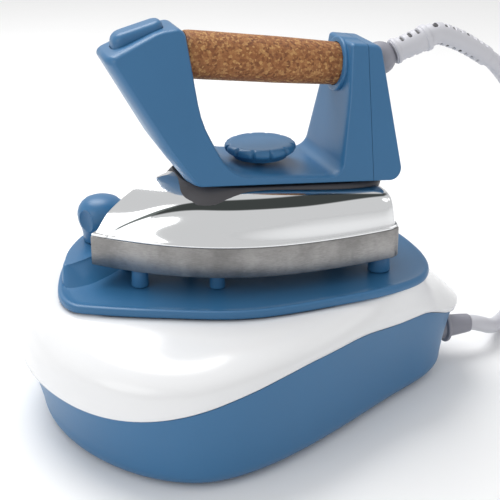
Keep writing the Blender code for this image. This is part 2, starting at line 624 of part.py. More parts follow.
def soleplate():
    """Thick aluminium sole with a steam chamber in its top and steam holes in its face."""
    rings = [iron_ring(SOLE_TIP + 1.5, SOLE_HEEL - 0.8, 0.9, SOLE_BOTTOM),
             iron_ring(SOLE_TIP, SOLE_HEEL, 0.0, SOLE_BOTTOM + 0.9),
             iron_ring(SOLE_TIP, SOLE_HEEL, 0.0, SOLE_TOP - 0.5),
             iron_ring(SOLE_TIP + 0.8, SOLE_HEEL - 0.5, 0.5, SOLE_TOP)]
    sole = loft("soleplate", rings, ALUMINIUM)
    pocket = [iron_ring(SOLE_TIP + 34, SOLE_HEEL - 14, 17, z, steps=12) for z in (SOLE_TOP - 12, SOLE_TOP + 4)]
    boolean(sole, loft("steam_chamber", pocket, CUTTER))
    row = [(-62, 0), (-52, -11), (-52, 11), (-38, -19), (-38, 19), (-40, 0), (-20, -25), (-20, 25),
           (0, -29), (0, 29)]
    bm = bmesh.new()
    for x, y in row:
        spot = Matrix.Translation(Vector((x, y, SOLE_BOTTOM + 4)) * MM)
        bmesh.ops.create_cone(bm, cap_ends=True, segments=6, radius1=1.8 * MM, radius2=1.8 * MM, depth=14 * MM,
                              matrix=spot)
    boolean(sole, to_object("steam_holes", bm, CUTTER))
    return sole


def chamber_parts():
    """Heating element in the chamber, the chamber's cover, and the thermostat on it."""
    legs = []
    for step in range(9):
        angle = math.radians(-90 - 180 * step / 8)
        legs.append((-18 + 30 * math.cos(angle) * 1.25, 17 * math.sin(angle), SOLE_TOP - 7.6))
    path = [(66, -17, SOLE_TOP - 7.6), (20, -17, SOLE_TOP - 7.6)] + legs + \
           [(20, 17, SOLE_TOP - 7.6), (66, 17, SOLE_TOP - 7.6)]
    tube("iron_heater", path, 3.4, STEEL)
    rings = [iron_ring(SOLE_TIP + 35, SOLE_HEEL - 14.8, 17.6, z, steps=12) for z in (SOLE_TOP - 3, SOLE_TOP - 0.6)]
    cover = loft("chamber_cover", rings, ALUMINIUM)
    boolean(cover, cylinder("inlet_bore", 2.0, 12, (STEAM_TUBE_X - 12, 0, SOLE_TOP), CUTTER, segments=14))
    cylinder("iron_thermostat", 13, 9, (DIAL_X, 0, SOLE_TOP - 0.3 + 4.5), CERAMIC, segments=20, bevel=0.8)


CHROME_RINGS = [   # (tip setback, side inset, heel inset, share of the rise)
    (1.5, 0.9, 1.0, 0.0), (5.0, 2.0, 2.0, 0.10), (12.0, 2.9, 2.7, 0.38), (21.0, 4.2, 3.4, 0.60),
    (31.0, 6.6, 4.8, 0.79), (41.0, 11.0, 8.0, 0.92), (49.0, 17.0, 13.0, 0.98), (54.0, 24.0, 19.0, 1.0)]


def chrome_height(share, lift=0.0):
    """Height of a ring of the chrome cover as a function of x; its crown falls towards the heel."""
    def height(x):
        rise = CHROME_NOSE_RISE + (CHROME_HEEL_RISE - CHROME_NOSE_RISE) * smoothstep(x, -75, 125)
        return SOLE_TOP + GAP + rise * share + lift
    return height


def chrome_rings(grow=0.0, lift=0.0):
    """Rings of the cover's skin, grown outwards by a distance."""
    return [iron_ring(SOLE_TIP + setback - grow, SOLE_HEEL - heel + grow, inset - grow,
                      chrome_height(share, lift), corner=6.0)
            for setback, inset, heel, share in CHROME_RINGS]


def iron_bores():
    """Bores shared by the pieces between the sole and the handle: dial shaft, steam tube and screw."""
    bm = bmesh.new()
    bores = ((DIAL_X, 0, SHAFT_RADIUS + 0.6), (STEAM_TUBE_X, 0, 3.6), (-28, 0, 2.5))
    for x, y, radius in bores:
        spot = Matrix.Translation(Vector((x, y, 152)) * MM)
        bmesh.ops.create_cone(bm, cap_ends=True, segments=14, radius1=radius * MM, radius2=radius * MM,
                              depth=60 * MM, matrix=spot)
    return to_object("iron_bores", bm, CUTTER)


def chrome_cover(bores):
    """Thin polished cover with a rolled flange round the sole."""
    skin = chrome_rings()
    skin[0] = iron_ring(SOLE_TIP + 0.6, SOLE_HEEL - 0.4, 0.4, SOLE_TOP + GAP, corner=6.0)
    flange = iron_ring(SOLE_TIP + 1.2, SOLE_HEEL - 0.6, 0.6, SOLE_TOP + GAP + 1.4, corner=6.0)
    inner = chrome_rings(-CHROME_WALL, -CHROME_WALL)
    inner[0] = iron_ring(SOLE_TIP + 4.2, SOLE_HEEL - 2.8, 2.6, SOLE_TOP + GAP, corner=6.0)
    cover = loft("chrome_cover", list(reversed(skin[1:])) + [flange, skin[0]] + inner, CHROME)
    return boolean(cover, bores)


def heat_shield(bores):
    """Dark skirt between the chrome cover and the handle."""
    def shield_ring(front, rear, half, z_front, z_rear):
        ring = []
        for step in range(28):
            angle = 2 * math.pi * step / 28
            c, s = math.cos(angle), math.sin(angle)
            x = (front + rear) / 2 + (rear - front) / 2 * math.copysign(abs(c) ** 0.55, c)
            nose = 1 - 0.24 * smoothstep(-x, 20, 66)
            y = half * nose * math.copysign(abs(s) ** 0.5, s)
            ring.append((x, y, z_front + (z_rear - z_front) * (x - front) / (rear - front)))
        return ring

    block = loft("heat_shield", [shield_ring(-66, 92, 42.0, 154, 150), shield_ring(-66, 93, 42.0, 161, 155),
                                 shield_ring(-61, 95, 39.5, 167.0, 158.6), shield_ring(-52, 96, 37.0, 169.9, 160.8)],
                 SHIELD)
    skin = loft("cover_skin", chrome_rings(0.5, 0.5), CUTTER)
    boolean(block, skin)
    return boolean(block, bores)


def rounded_outline(corners, step_angle=20.0):
    """A closed outline through corners (x, z, radius), with every corner turned into an arc."""
    count = len(corners)
    path = []
    for i, (x, z, radius) in enumerate(corners):
        here = Vector((x, z))
        before = (Vector(corners[i - 1][:2]) - here).normalized()
        after = (Vector(corners[(i + 1) % count][:2]) - here).normalized()
        half = before.angle(after) / 2
        reach = radius / math.tan(half)
        middle = here + (before + after).normalized() * (radius / math.sin(half))
        start = here + before * reach - middle
        sweep = start.angle_signed(here + after * reach - middle)
        steps = max(2, round(abs(math.degrees(sweep)) / step_angle))
        for step in range(steps + 1):
            turn = Matrix.Rotation(-sweep * step / steps, 2)
            path.append(middle + turn @ start)
    return path


HANDLE_CORNERS = [
    (-100.5, 255.0, 4), (-66.5, 195, 110), (-49.5, 170.8, 9), (103.5, 161.2, 9), (90.2, 252.0, 5), (68.5, 255.0, 2.5),
    (65.5, 222, 140), (57.0, 169.4, 9), (-19.5, 176.5, 24), (-37.0, 211, 70), (-44.5, 271.5, 6), (-60, 270.0, 30)]


def handle_half_width(z):
    """Half width of the handle at a height."""
    return HANDLE_TOP_HALF_WIDTH + HANDLE_TAPER * (HANDLE_TOP_Z - z)


def inset_corners(corners, amount):
    """The corner list with every edge moved inwards and the radii changed to match."""
    spots = [Vector(corner[:2]) for corner in corners]
    moved = []
    for i, spot in enumerate(spots):
        before, after = (spot - spots[i - 1]).normalized(), (spots[(i + 1) % len(spots)] - spot).normalized()
        bend = before.x * after.y - before.y * after.x
        inward = Vector((-before.y - after.y, before.x + after.x)) * (amount / (1 + before.dot(after)))
        moved.append((*(spot + inward), max(corners[i][2] - math.copysign(amount, bend), 0.8)))
    return moved


def handle_solid(name, mat):
    """The whole handle, lofted from side to side: planar flanks, rounded edges and a rounded front."""
    nose_top, nose_foot = Vector(HANDLE_CORNERS[0][:2]), Vector(HANDLE_CORNERS[2][:2])
    inward = Vector((nose_top.y - nose_foot.y, nose_foot.x - nose_top.x)).normalized()
    rings = []
    for share, inset in ((-1.0, 1.5), (-0.94, 0.4), (-0.84, 0.0), (-0.66, 0.0),
                         (0.66, 0.0), (0.84, 0.0), (0.94, 0.4), (1.0, 1.5)):
        ring = []
        for point in rounded_outline(inset_corners(HANDLE_CORNERS, inset)):
            depth = (point - nose_top).dot(inward)
            spot = point + Vector((7.0 * share * share * (1 - smoothstep(depth, 0, 24)), 0))
            ring.append((spot.x, share * handle_half_width(spot.y), spot.y))
        rings.append(ring)
    return loft(name, rings, mat)


def grip_point(along):
    """A point on the grip's axis, measured from its middle towards the heel."""
    return GRIP_CENTRE + Vector((math.cos(GRIP_TILT), 0, -math.sin(GRIP_TILT))) * along


GRIP_AXIS = Vector((math.cos(GRIP_TILT), 0, -math.sin(GRIP_TILT)))


def handle(bores):
    """Handle in two mouldings: the body with the front post, and the cover at the back of the rear post."""
    body = handle_solid("handle_body", BLUE)
    collar = cylinder("grip_collar", 18.6, 15, grip_point(59.5), BLUE, axis=GRIP_AXIS, segments=28, bevel=1.5)
    body = join(body, collar)
    rear = handle_solid("handle_rear_cover", BLUE)
    boolean(body, box("rear_half", (80, 200, 260), (HANDLE_SPLIT_X + 40, 0, 220), CUTTER))
    boolean(rear, box("front_half", (240, 200, 260), (HANDLE_SPLIT_X + GAP - 120, 0, 220), CUTTER))
    socket = turned("grip_sockets", [(0, GRIP_LENGTH / 2 + 0.4), (GRIP_REAR_RADIUS + 0.4, GRIP_LENGTH / 2 + 0.4),
                                     (GRIP_FRONT_RADIUS + 0.4, -GRIP_LENGTH / 2 - 0.4),
                                     (0, -GRIP_LENGTH / 2 - 0.4)],
                    CUTTER, GRIP_CENTRE, axis=GRIP_AXIS, segments=28)
    rod = cylinder("rod_bore", GRIP_ROD_RADIUS + 0.3, 138, GRIP_CENTRE, CUTTER, axis=GRIP_AXIS, segments=14)
    floor = BUTTON_TOP - BUTTON_HEIGHT - BUTTON_TRAVEL - 0.6
    button_well = loft("button_well", [pill_ring(0.4, floor), pill_ring(0.4, BUTTON_TOP + 8)], CUTTER)
    spring_well = cylinder("spring_well", 4.8, 25, (BUTTON_X, 0, 250), CUTTER, segments=14)
    for cutter in (socket, rod, button_well, spring_well, bores):
        boolean(body, cutter)
    ball = turned("ball_socket", ball_profile(HOSE_BALL_RADIUS + 0.4), CUTTER, HOSE_BALL, segments=20)
    cavity = box("tube_cavity", (11, 22, 54), (HANDLE_SPLIT_X + 5.4, 0, 199), CUTTER, bevel=2.0)
    drop = cylinder("tube_bore", 3.6, 70, (STEAM_TUBE_X, 0, 180), CUTTER, segments=14)
    for cutter in (ball, cavity, drop):
        boolean(rear, cutter)
    return body, rear


def ball_profile(radius):
    """Half circle for a turned ball."""
    return [(radius * math.cos(a), radius * math.sin(a)) if abs(a) < 1.57 else (0, math.copysign(radius, a))
            for a in (math.radians(90 - 22.5 * i) for i in range(9))]


def grip():
    """Cork sleeve on a steel rod."""
    h, rf, rr = GRIP_LENGTH / 2, GRIP_FRONT_RADIUS, GRIP_REAR_RADIUS
    mid = (rf + rr) / 2 + 0.35
    bore = GRIP_ROD_RADIUS + 0.3
    profile = [(rr - 4.0, h), (rr - 1.4, h - 1.2), (rr, h - 4.5), (mid, 0), (rf, -h + 4), (rf - 1.0, -h), (bore, -h),
               (bore, h)]
    turned("cork_grip", profile, CORK, GRIP_CENTRE, axis=GRIP_AXIS, segments=28, ring=True)
    cylinder("grip_rod", GRIP_ROD_RADIUS, 134, GRIP_CENTRE, STEEL, axis=GRIP_AXIS, segments=14)


def pill_ring(grow, middle_height):
    """The button's outline seen from above, on a plane that slopes up towards the heel."""
    ring = []
    radius = 7.0 + grow
    half_length, half = BUTTON_LENGTH / 2 + grow, BUTTON_WIDTH / 2 + grow
    for corner, (sx, sy) in enumerate(((1, 1), (-1, 1), (-1, -1), (1, -1))):
        for step in range(5):
            angle = math.radians(90 * corner + 22.5 * step)
            x = sx * (half_length - radius) + radius * math.cos(angle)
            y = sy * (half - radius) + radius * math.sin(angle)
            ring.append((BUTTON_X + x, y, middle_height + BUTTON_SLOPE * x))
    return ring


def steam_button():
    """Sprung steam button on top of the front post, and the microswitch it works."""
    rings = [pill_ring(-inset, BUTTON_TOP - drop) for inset, drop in
             ((0.6, BUTTON_HEIGHT), (0, BUTTON_HEIGHT - 0.6), (0, 4.4), (0.7, 2.2), (2.0, 0.8), (4.2, 0.0))]
    loft("steam_button", rings, BLUE)
    low, high = 245.8, 257.1
    spring = [(BUTTON_X + 3.2 * math.cos(a), 3.2 * math.sin(a), low + (high - low) * i / 30)
              for i, a in ((i, math.radians(72 * i)) for i in range(31))]
    tube("button_spring", spring, 0.45, STEEL, resolution=0)
    box("microswitch", (5.6, 5.6, 6.6), (BUTTON_X, 0, 241.6), SWITCH, bevel=0.4)


def temperature_dial():
    """Notched dial and its shaft."""
    top, r = DIAL_TOP, DIAL_RADIUS
    profile = [(0, top), (r - 4.5, top), (r - 1.2, top - 0.8), (r, top - 2.4), (r - 0.6, top - 5.2),
               (r - 5.0, top - 8.0), (r - 6.2, 177.2), (3.5, 177.2), (3.5, top - 4), (0, top - 4)]
    dial = turned("temperature_dial", profile, BLUE, (DIAL_X, 0, 0), segments=36)
    bm = bmesh.new()
    for notch in range(DIAL_NOTCHES):
        angle = 2 * math.pi * notch / DIAL_NOTCHES
        spot = Vector((DIAL_X + (r + 0.6) * math.cos(angle), (r + 0.6) * math.sin(angle), top - 2.0)) * MM
        bmesh.ops.create_cone(bm, cap_ends=True, segments=6, radius1=2.2 * MM, radius2=2.2 * MM, depth=9 * MM,
                              matrix=Matrix.Translation(spot))
    boolean(dial, to_object("dial_notches", bm, CUTTER))
    cylinder("dial_shaft", SHAFT_RADIUS, 41.4, (DIAL_X, 0, 141.4 + 20.7), STEEL, segments=16)


def iron_fasteners():
    """Screw that clamps the handle to the sole, and the steam tube down the rear post."""
    cylinder("handle_screw", 2.2, 42, (-28, 0, SOLE_TOP - 0.3 + 21), STEEL, segments=12)
    route = smooth_route([(STEAM_TUBE_X, 0, 222), (STEAM_TUBE_X, 0, 190), (STEAM_TUBE_X, 0, 160),
                          (STEAM_TUBE_X - 1, 0, 149), (STEAM_TUBE_X - 6, 0, 143), (STEAM_TUBE_X - 11, 0, 138),
                          (STEAM_TUBE_X - 12, 0, 135)], 8)
    tube("iron_steam_tube", route + [Vector((STEAM_TUBE_X - 12, 0, SOLE_TOP - 0.3))], 2.6, COPPER)


# Hose

def hose_fittings():
    """Ball joint and the two slotted bend sleeves at the iron."""
    turned("hose_ball", ball_profile(HOSE_BALL_RADIUS), GREY, HOSE_BALL, segments=20)
    ring_end = Vector((134.0, 0, 251.0))
    start = HOSE_BALL + (ring_end - HOSE_BALL).normalized() * (HOSE_BALL_RADIUS + GAP)
    axis = (ring_end - start).normalized()
    reach = (ring_end - start).length
    profile = [(0, reach), (9.4, reach), (9.4, reach - 3), (8.6, reach - 3.6), (8.0, 0), (0, 0)]
    turned("bend_sleeve", profile, HOSE, start, axis=axis, segments=24)
    route = smooth_route([ring_end + axis * 5, (144, 0, 252.4), (153, 0, 249.2), (163, 0, 244.6),
                          HOSE_EXIT - HOSE_EXIT_AXIS * 5], 8)
    tube("bend_protector", [ring_end + axis * GAP] + route + [HOSE_EXIT], 7.4, HOSE, resolution=3)


def hose():
    """Steam hose: from the bend protector down to its coil, the coil, and back to the station."""
    upper = [HOSE_EXIT + HOSE_EXIT_AXIS * 0.4] + smooth_route(HOSE_UPPER_ROUTE, 22)
    tube("hose_upper", upper, HOSE_RADIUS, HOSE, resolution=2)
    d = HOSE_RADIUS * 2
    profile = [(COIL_RADIUS + d, 14), (COIL_RADIUS + d, 2), (COIL_RADIUS + d - 2, 0), (COIL_RADIUS - d + 2, 0),
               (COIL_RADIUS - d, 2), (COIL_RADIUS - d, 14), (COIL_RADIUS - 6, 24.0), (COIL_RADIUS + 6, 24.0)]
    turned("hose_coil", profile, HOSE, (COIL_X, COIL_Y, 0), segments=36, ring=True)
    inward = (Vector((COIL_X, COIL_Y, HOSE_LOWER_END.z)) - HOSE_LOWER_END).normalized()
    route = smooth_route(HOSE_LOWER_ROUTE + [HOSE_LOWER_END - inward * 5], 12)
    lower = [Vector((183.4, 0, REAR_GLAND_Z))] + route + [HOSE_LOWER_END]
    tube("hose_lower", lower, HOSE_RADIUS, HOSE, resolution=2)


def carry(name, point, pieces, parent=None):
    """An empty on a joint's axis that carries the pieces which move together."""
    empty = bpy.data.objects.new(name, None)
    empty.location = Vector(point) * MM
    PARTS.objects.link(empty)
    for piece in pieces:
        hold(bpy.data.objects[piece], empty)
    if parent:
        hold(empty, parent)
    return empty


def hold(piece, parent):
    """Parent a piece without moving it."""
    bpy.context.view_layer.update()
    piece.parent = parent
    piece.matrix_parent_inverse = parent.matrix_world.inverted()


def build():
    lower = lower_housing()
    upper_housing()
    rest_plate()
    rest_pads()
    filler_cap()
    boiler()
    steam_valve()
    rear_glands(lower)
    feet_and_screws(lower)
    switches(lower)
    bores = iron_bores()
    soleplate()
    chamber_parts()
    chrome_cover(bores)
    heat_shield(bores)
    handle(bores)
    grip()
    steam_button()
    temperature_dial()
    iron_fasteners()
    hose_fittings()
    hose()
    carry("cap_axis", (CAP_X, CAP_Y, DECK_TOP), ("cap_knob", "cap_plug", "cap_seal"))
    carry("boiler_rocker_axis", switch_spot(-15, -4.2), ("boiler_rocker",))
    carry("iron_rocker_axis", switch_spot(9, -4.2), ("iron_rocker",))
    carry("valve_axis", (VALVE_X, VALVE_Y, 38), ("valve_plunger",))
    iron = carry("iron_lift", (0, 0, SOLE_BOTTOM), (
        "soleplate", "iron_heater", "chamber_cover", "iron_thermostat", "chrome_cover", "heat_shield",
        "handle_body", "handle_rear_cover", "cork_grip", "grip_rod", "button_spring", "microswitch",
        "iron_steam_tube", "handle_screw", "hose_ball", "bend_sleeve", "bend_protector", "hose_upper"))
    carry("button_axis", (BUTTON_X, 0, BUTTON_TOP), ("steam_button",), iron)
    carry("dial_axis", (DIAL_X, 0, DIAL_TOP), ("temperature_dial", "dial_shaft"), iron)


build()
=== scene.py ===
import math
import bmesh
import bpy
from mathutils import Matrix, Vector
from mathutils.geometry import interpolate_bezier


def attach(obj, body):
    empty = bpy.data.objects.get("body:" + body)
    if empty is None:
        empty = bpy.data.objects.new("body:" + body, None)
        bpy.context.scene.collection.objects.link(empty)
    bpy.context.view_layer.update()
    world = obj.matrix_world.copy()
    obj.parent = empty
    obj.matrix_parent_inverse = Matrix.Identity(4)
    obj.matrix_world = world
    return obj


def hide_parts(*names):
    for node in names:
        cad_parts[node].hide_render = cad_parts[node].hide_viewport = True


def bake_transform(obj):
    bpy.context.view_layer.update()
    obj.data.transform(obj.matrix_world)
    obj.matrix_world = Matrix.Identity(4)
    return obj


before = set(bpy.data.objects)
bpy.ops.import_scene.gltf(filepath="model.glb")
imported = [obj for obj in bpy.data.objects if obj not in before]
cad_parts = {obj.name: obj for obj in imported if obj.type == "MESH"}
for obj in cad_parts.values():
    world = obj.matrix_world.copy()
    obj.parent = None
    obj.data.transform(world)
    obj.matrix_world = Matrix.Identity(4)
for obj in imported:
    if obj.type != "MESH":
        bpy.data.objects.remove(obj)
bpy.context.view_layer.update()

MM = 0.001
ROOM_LIGHT = 0.72


# ---- Studio ----

def aim(thing, place, target):
    """Stand a lamp or camera somewhere and turn it to look at a point."""
    thing.location = place
    thing.rotation_euler = (Vector(target) - Vector(place)).to_track_quat("-Z", "Y").to_euler()
    bpy.context.scene.collection.objects.link(thing)
    return thing


def soft_lamp(name, place, target, width, power):
    """A round window of soft light."""
    lamp = bpy.data.lights.new(name, "AREA")
    lamp.shape, lamp.size, lamp.energy = "DISK", width, power
    return aim(bpy.data.objects.new(name, lamp), place, target)


lens = bpy.data.cameras.new("studio_camera")
lens.lens, lens.sensor_width, lens.clip_start = 84.34, 36.0, 0.01
bpy.context.scene.camera = aim(bpy.data.objects.new("studio_camera", lens),
                               (-0.2340, -0.7300, 0.4211), (0.00435, 0.0, 0.10753))

soft_lamp("window_above", (-0.25, 0.60, 1.30), (0.0, 0.0, 0.12), 1.0, 14.0)
soft_lamp("window_left", (-1.35, -0.55, 0.75), (-0.05, 0.0, 0.08), 0.9, 3.4)
soft_lamp("window_right", (1.5, -0.2, 0.9), (0.05, 0.0, 0.1), 0.8, 1.0)

bpy.context.scene.view_settings.view_transform = "Standard"
room = bpy.data.worlds.new("studio_room")
bpy.context.scene.world = room
room.use_nodes = True
walls = room.node_tree.nodes["Background"]
walls.inputs["Color"].default_value = (1.0, 1.0, 1.0, 1.0)
walls.inputs["Strength"].default_value = ROOM_LIGHT


# ---- Finishes ----

class Reading:
    """A shader socket that can be used in sums; every operator adds a Math node."""

    def __init__(self, finish, socket):
        self.finish, self.socket = finish, socket

    def math(self, operation, first, second=0.0):
        return self.finish.node("ShaderNodeMath", {"operation": operation}, {0: first, 1: second})

    def __add__(self, other):
        return self.math("ADD", self, other)

    def __radd__(self, other):
        return self.math("ADD", other, self)

    def __sub__(self, other):
        return self.math("SUBTRACT", self, other)

    def __rsub__(self, other):
        return self.math("SUBTRACT", other, self)

    def __mul__(self, other):
        return self.math("MULTIPLY", self, other)

    def __rmul__(self, other):
        return self.math("MULTIPLY", other, self)

    def at_least(self, other):
        return self.math("MAXIMUM", self, other)

    def at_most(self, other):
        return self.math("MINIMUM", self, other)

    def size(self):
        return self.math("ABSOLUTE", self)


class Finish:
    """A material being mixed, with its Principled shader."""

    def __init__(self, name, **fixed):
        self.material = bpy.data.materials.new(name)
        self.material.use_nodes = True
        self.tree = self.material.node_tree
        self.shader = self.tree.nodes["Principled BSDF"]
        for socket, value in fixed.items():
            self.shader.inputs[socket.replace("_", " ")].default_value = value
        self.place = self.node("ShaderNodeTexCoord", output="Object")

    def node(self, kind, settings=None, sockets=None, output=0):
        """Add a node: its settings first, then the values or links of its sockets."""
        node = self.tree.nodes.new(kind)
        for setting, value in (settings or {}).items():
            if setting == "stops":
                ramp = node.color_ramp
                while len(ramp.elements) < len(value):
                    ramp.elements.new(0.5)
                for element, (position, colour) in zip(ramp.elements, value):
                    element.position, element.color = position, (*colour, 1.0)
            else:
                setattr(node, setting, value)
        for socket, value in (sockets or {}).items():
            if isinstance(value, Reading):
                self.tree.links.new(value.socket, node.inputs[socket])
            elif node.inputs[socket].type == "RGBA" and len(value) == 3:
                node.inputs[socket].default_value = (*value, 1.0)
            else:
                node.inputs[socket].default_value = value
        return Reading(self, node.outputs[output])

    def stretched(self, x, y, z):
        """The place on the piece, scaled differently along each axis."""
        return self.node("ShaderNodeVectorMath", {"operation": "MULTIPLY"},
                         {0: self.place, 1: (x, y, z)})

    def noise(self, scale, detail=2.0, roughness=0.5, place=None):
        return self.node("ShaderNodeTexNoise", None,
                         {"Vector": place or self.place, "Scale": scale, "Detail": detail,
                          "Roughness": roughness})

    def ramp(self, value, stops):
        return self.node("ShaderNodeValToRGB", {"stops": stops}, {"Fac": value})

    def between(self, share, first, second):
        """The first colour at a share of 0 and the second at 1."""
        return self.node("ShaderNodeMix", {"data_type": "RGBA"},
                         {0: share, 6: first, 7: second}, output=2)

    def axis(self, letter):
        return self.node("ShaderNodeSeparateXYZ", None, {"Vector": self.place}, output=letter)

    def step(self, value, start, end):
        """Rises smoothly from 0 to 1 between two values."""
        return self.node("ShaderNodeMapRange", {"interpolation_type": "SMOOTHSTEP"},
                         {"Value": value, "From Min": start, "From Max": end})

    def bump(self, height, strength, distance):
        return self.node("ShaderNodeBump", None,
                         {"Height": height, "Strength": strength, "Distance": distance})

    def wear(self, **links):
        """Link the readings to the shader and hand over the material."""
        for socket, reading in links.items():
            self.tree.links.new(reading.socket, self.shader.inputs[socket.replace("_", " ")])
        return self.material


def shade(colour, factor):
    """The colour, lighter or darker."""
    return tuple(min(c * factor, 1.0) for c in colour)


def moulding(name, colour, roughness, grain=3000.0, depth=0.10, cloud=0.10, **fixed):
    """Moulded plastic or rubber: faint clouds in the colour and a fine eroded grain."""
    finish = Finish(name, **fixed)
    clouds = finish.noise(22.0, 3.0)
    grit = finish.noise(grain, 2.0, 0.6)
    tone = finish.between(clouds, shade(colour, 1 - cloud), shade(colour, 1 + cloud))
    gloss = (roughness - 0.05) + clouds * 0.06 + grit * 0.05
    return finish.wear(Base_Color=tone, Roughness=gloss, Normal=finish.bump(grit, depth, 0.0002))


def metal(name, colour, roughness, lines=(60.0, 1800.0, 1800.0), depth=0.10, cloud=0.12, **fixed):
    """Metal with brushed or drawn lines and a little staining."""
    finish = Finish(name, Metallic=1.0, **fixed)
    drawn = finish.noise(1.0, 3.0, 0.6, finish.stretched(*lines))
    stain = finish.noise(30.0, 4.0, 0.6)
    tone = finish.between(stain, shade(colour, 1 - cloud), shade(colour, 1 + cloud))
    gloss = (roughness - 0.06) + drawn * 0.07 + stain * 0.08
    return finish.wear(Base_Color=tone, Roughness=gloss, Normal=finish.bump(drawn, depth, 0.0002))


def cork_finish():
    """Pressed cork granules: pale and dark flecks over warm brown, with open pores."""
    granules_per_metre, crumbs_per_metre = 620.0, 1300.0
    finish = Finish("cork", Coat_Roughness=0.45)
    warp = finish.noise(180.0, 3.0)
    granules = {"Vector": finish.place, "Scale": granules_per_metre}
    grains = finish.node("ShaderNodeTexVoronoi", None, granules, output="Color")
    grain_tone = finish.node("ShaderNodeSeparateColor", None, {"Color": grains}, output="Red")
    crumbs = finish.node("ShaderNodeTexVoronoi", None,
                         {"Vector": finish.place, "Scale": crumbs_per_metre})
    gap = finish.node("ShaderNodeTexVoronoi", {"feature": "DISTANCE_TO_EDGE"}, granules)
    tone = finish.ramp(grain_tone * 0.7 + warp * 0.35,
                       [(0.08, (0.13, 0.042, 0.013)), (0.32, (0.26, 0.092, 0.027)),
                        (0.60, (0.36, 0.148, 0.046)), (0.94, (0.56, 0.31, 0.11))])
    seams = finish.step(gap, 0.0, 0.09)
    pores = finish.step(crumbs, 0.05, 0.28)
    dark = finish.between(seams * 0.30 + 0.70, (0.10, 0.035, 0.012), tone)
    surface = seams * 0.6 + pores * 0.4
    return finish.wear(Base_Color=dark, Roughness=0.62 + warp * 0.22, Coat_Weight=seams * 0.12,
                       Normal=finish.bump(surface, 0.5, 0.0005))


def sole_finish():
    """Ground aluminium: lines along the edge, heat stains and scuffs."""
    finish = Finish("aluminium", Metallic=1.0)
    ground = finish.noise(1.0, 3.0, 0.65, finish.stretched(260.0, 260.0, 2600.0))
    stains = finish.noise(26.0, 5.0, 0.62)
    scuffs = finish.noise(1.0, 2.0, 0.6, finish.stretched(90.0, 90.0, 400.0))
    tone = finish.ramp(stains * 0.75 + ground * 0.25,
                       [(0.28, (0.16, 0.155, 0.155)), (0.46, (0.27, 0.265, 0.26)),
                        (0.60, (0.40, 0.39, 0.385)), (0.78, (0.27, 0.265, 0.26))])
    return finish.wear(Base_Color=tone, Roughness=0.26 + stains * 0.16 + scuffs * 0.10,
                       Normal=finish.bump(ground + scuffs * 0.5, 0.16, 0.0003))


def chrome_finish():
    """Polished plating, with a near-black line painted along the pressed crease on the shoulder:
    painted shade and painted reflection, not a colour of the plating.
    """
    finish = Finish("chrome", Metallic=1.0)
    smears = finish.noise(40.0, 3.0)
    along = finish.axis("X")
    side = finish.axis("Y").size()
    # Mask of the painted shade and reflection line: it follows the height of the pressed crease and
    # is widest along the middle of the cover.
    front = (-0.038 - along).at_least(0.0)
    middle = along - 0.008
    crease = 0.1593 - 0.72 * middle * middle - 4.7 * front * front
    away = (finish.axis("Z") - crease).size()
    swell = finish.step(along, -0.090, -0.015) * (1.0 - finish.step(along, 0.020, 0.092))
    width = 0.0006 + 0.0023 * swell
    line = ((width - away) * 1600.0 + 0.5).at_least(0.0).at_most(1.0)
    line = line * finish.step(side, 0.006, 0.010) * (1.0 - finish.step(along, 0.086, 0.091))
    # The near-black colour inside the mask is painted shade and reflection over the plating's own
    # colour.
    tone = finish.between(line * 0.93, (0.80, 0.81, 0.82), (0.010, 0.018, 0.015))
    return finish.wear(Base_Color=tone, Roughness=0.07 + smears * 0.05,
                       Normal=finish.bump(smears, 0.04, 0.0004))


BLUE = (0.033, 0.143, 0.300)
WHITE = (0.80, 0.805, 0.815)
FINISHES = {
    "blue_plastic": moulding("blue_plastic", BLUE, 0.36, depth=0.07, cloud=0.05),
    "white_plastic": moulding("white_plastic", WHITE, 0.17, depth=0.03, cloud=0.012,
                              Coat_Roughness=0.08),
    "chrome": chrome_finish(),
    "aluminium": sole_finish(),
    "charcoal_plastic": moulding("charcoal_plastic", (0.052, 0.050, 0.056), 0.45),
    "cork": cork_finish(),
    "grey_rubber": moulding("grey_rubber", (0.27, 0.27, 0.31), 0.5, depth=0.12),
    "hose_rubber": moulding("hose_rubber", (0.58, 0.58, 0.62), 0.42, depth=0.12, cloud=0.06),
    "black_rubber": moulding("black_rubber", (0.022, 0.022, 0.023), 0.65, depth=0.2),
    "steel": metal("steel", (0.50, 0.50, 0.51), 0.30),
    "stainless_steel": metal("stainless_steel", (0.56, 0.555, 0.55), 0.26,
                             lines=(60.0, 60.0, 2200.0)),
    "brass": metal("brass", (0.66, 0.45, 0.17), 0.28, lines=(60.0, 60.0, 2200.0)),
    "copper_tube": metal("copper_tube", (0.70, 0.33, 0.19), 0.28),
    "ceramic": moulding("ceramic", (0.72, 0.69, 0.60), 0.6, depth=0.2),
    "switch_black": moulding("switch_black", (0.018, 0.018, 0.020), 0.3, depth=0.06),
    "lamp_amber": moulding("lamp_amber", (0.80, 0.27, 0.03), 0.16, depth=0.03),
    "silicone": moulding("silicone", (0.62, 0.12, 0.07), 0.45),
}
CAD_FINISHES = {"polished_chrome": "chrome", "brushed_aluminium": "aluminium"}
for node_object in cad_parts.values():
    node_slot = node_object.material_slots[0]
    packed = node_slot.material.name.split(".")[0]
    node_slot.material = FINISHES[CAD_FINISHES.get(packed, packed)]


# ---- Making pieces ----

CARVED_CREASE = 28.0


def smooth(value, start, end):
    """Rises smoothly from 0 to 1 between two values."""
    t = min(max((value - start) / (end - start), 0.0), 1.0)
    return t * t * (3 - 2 * t)


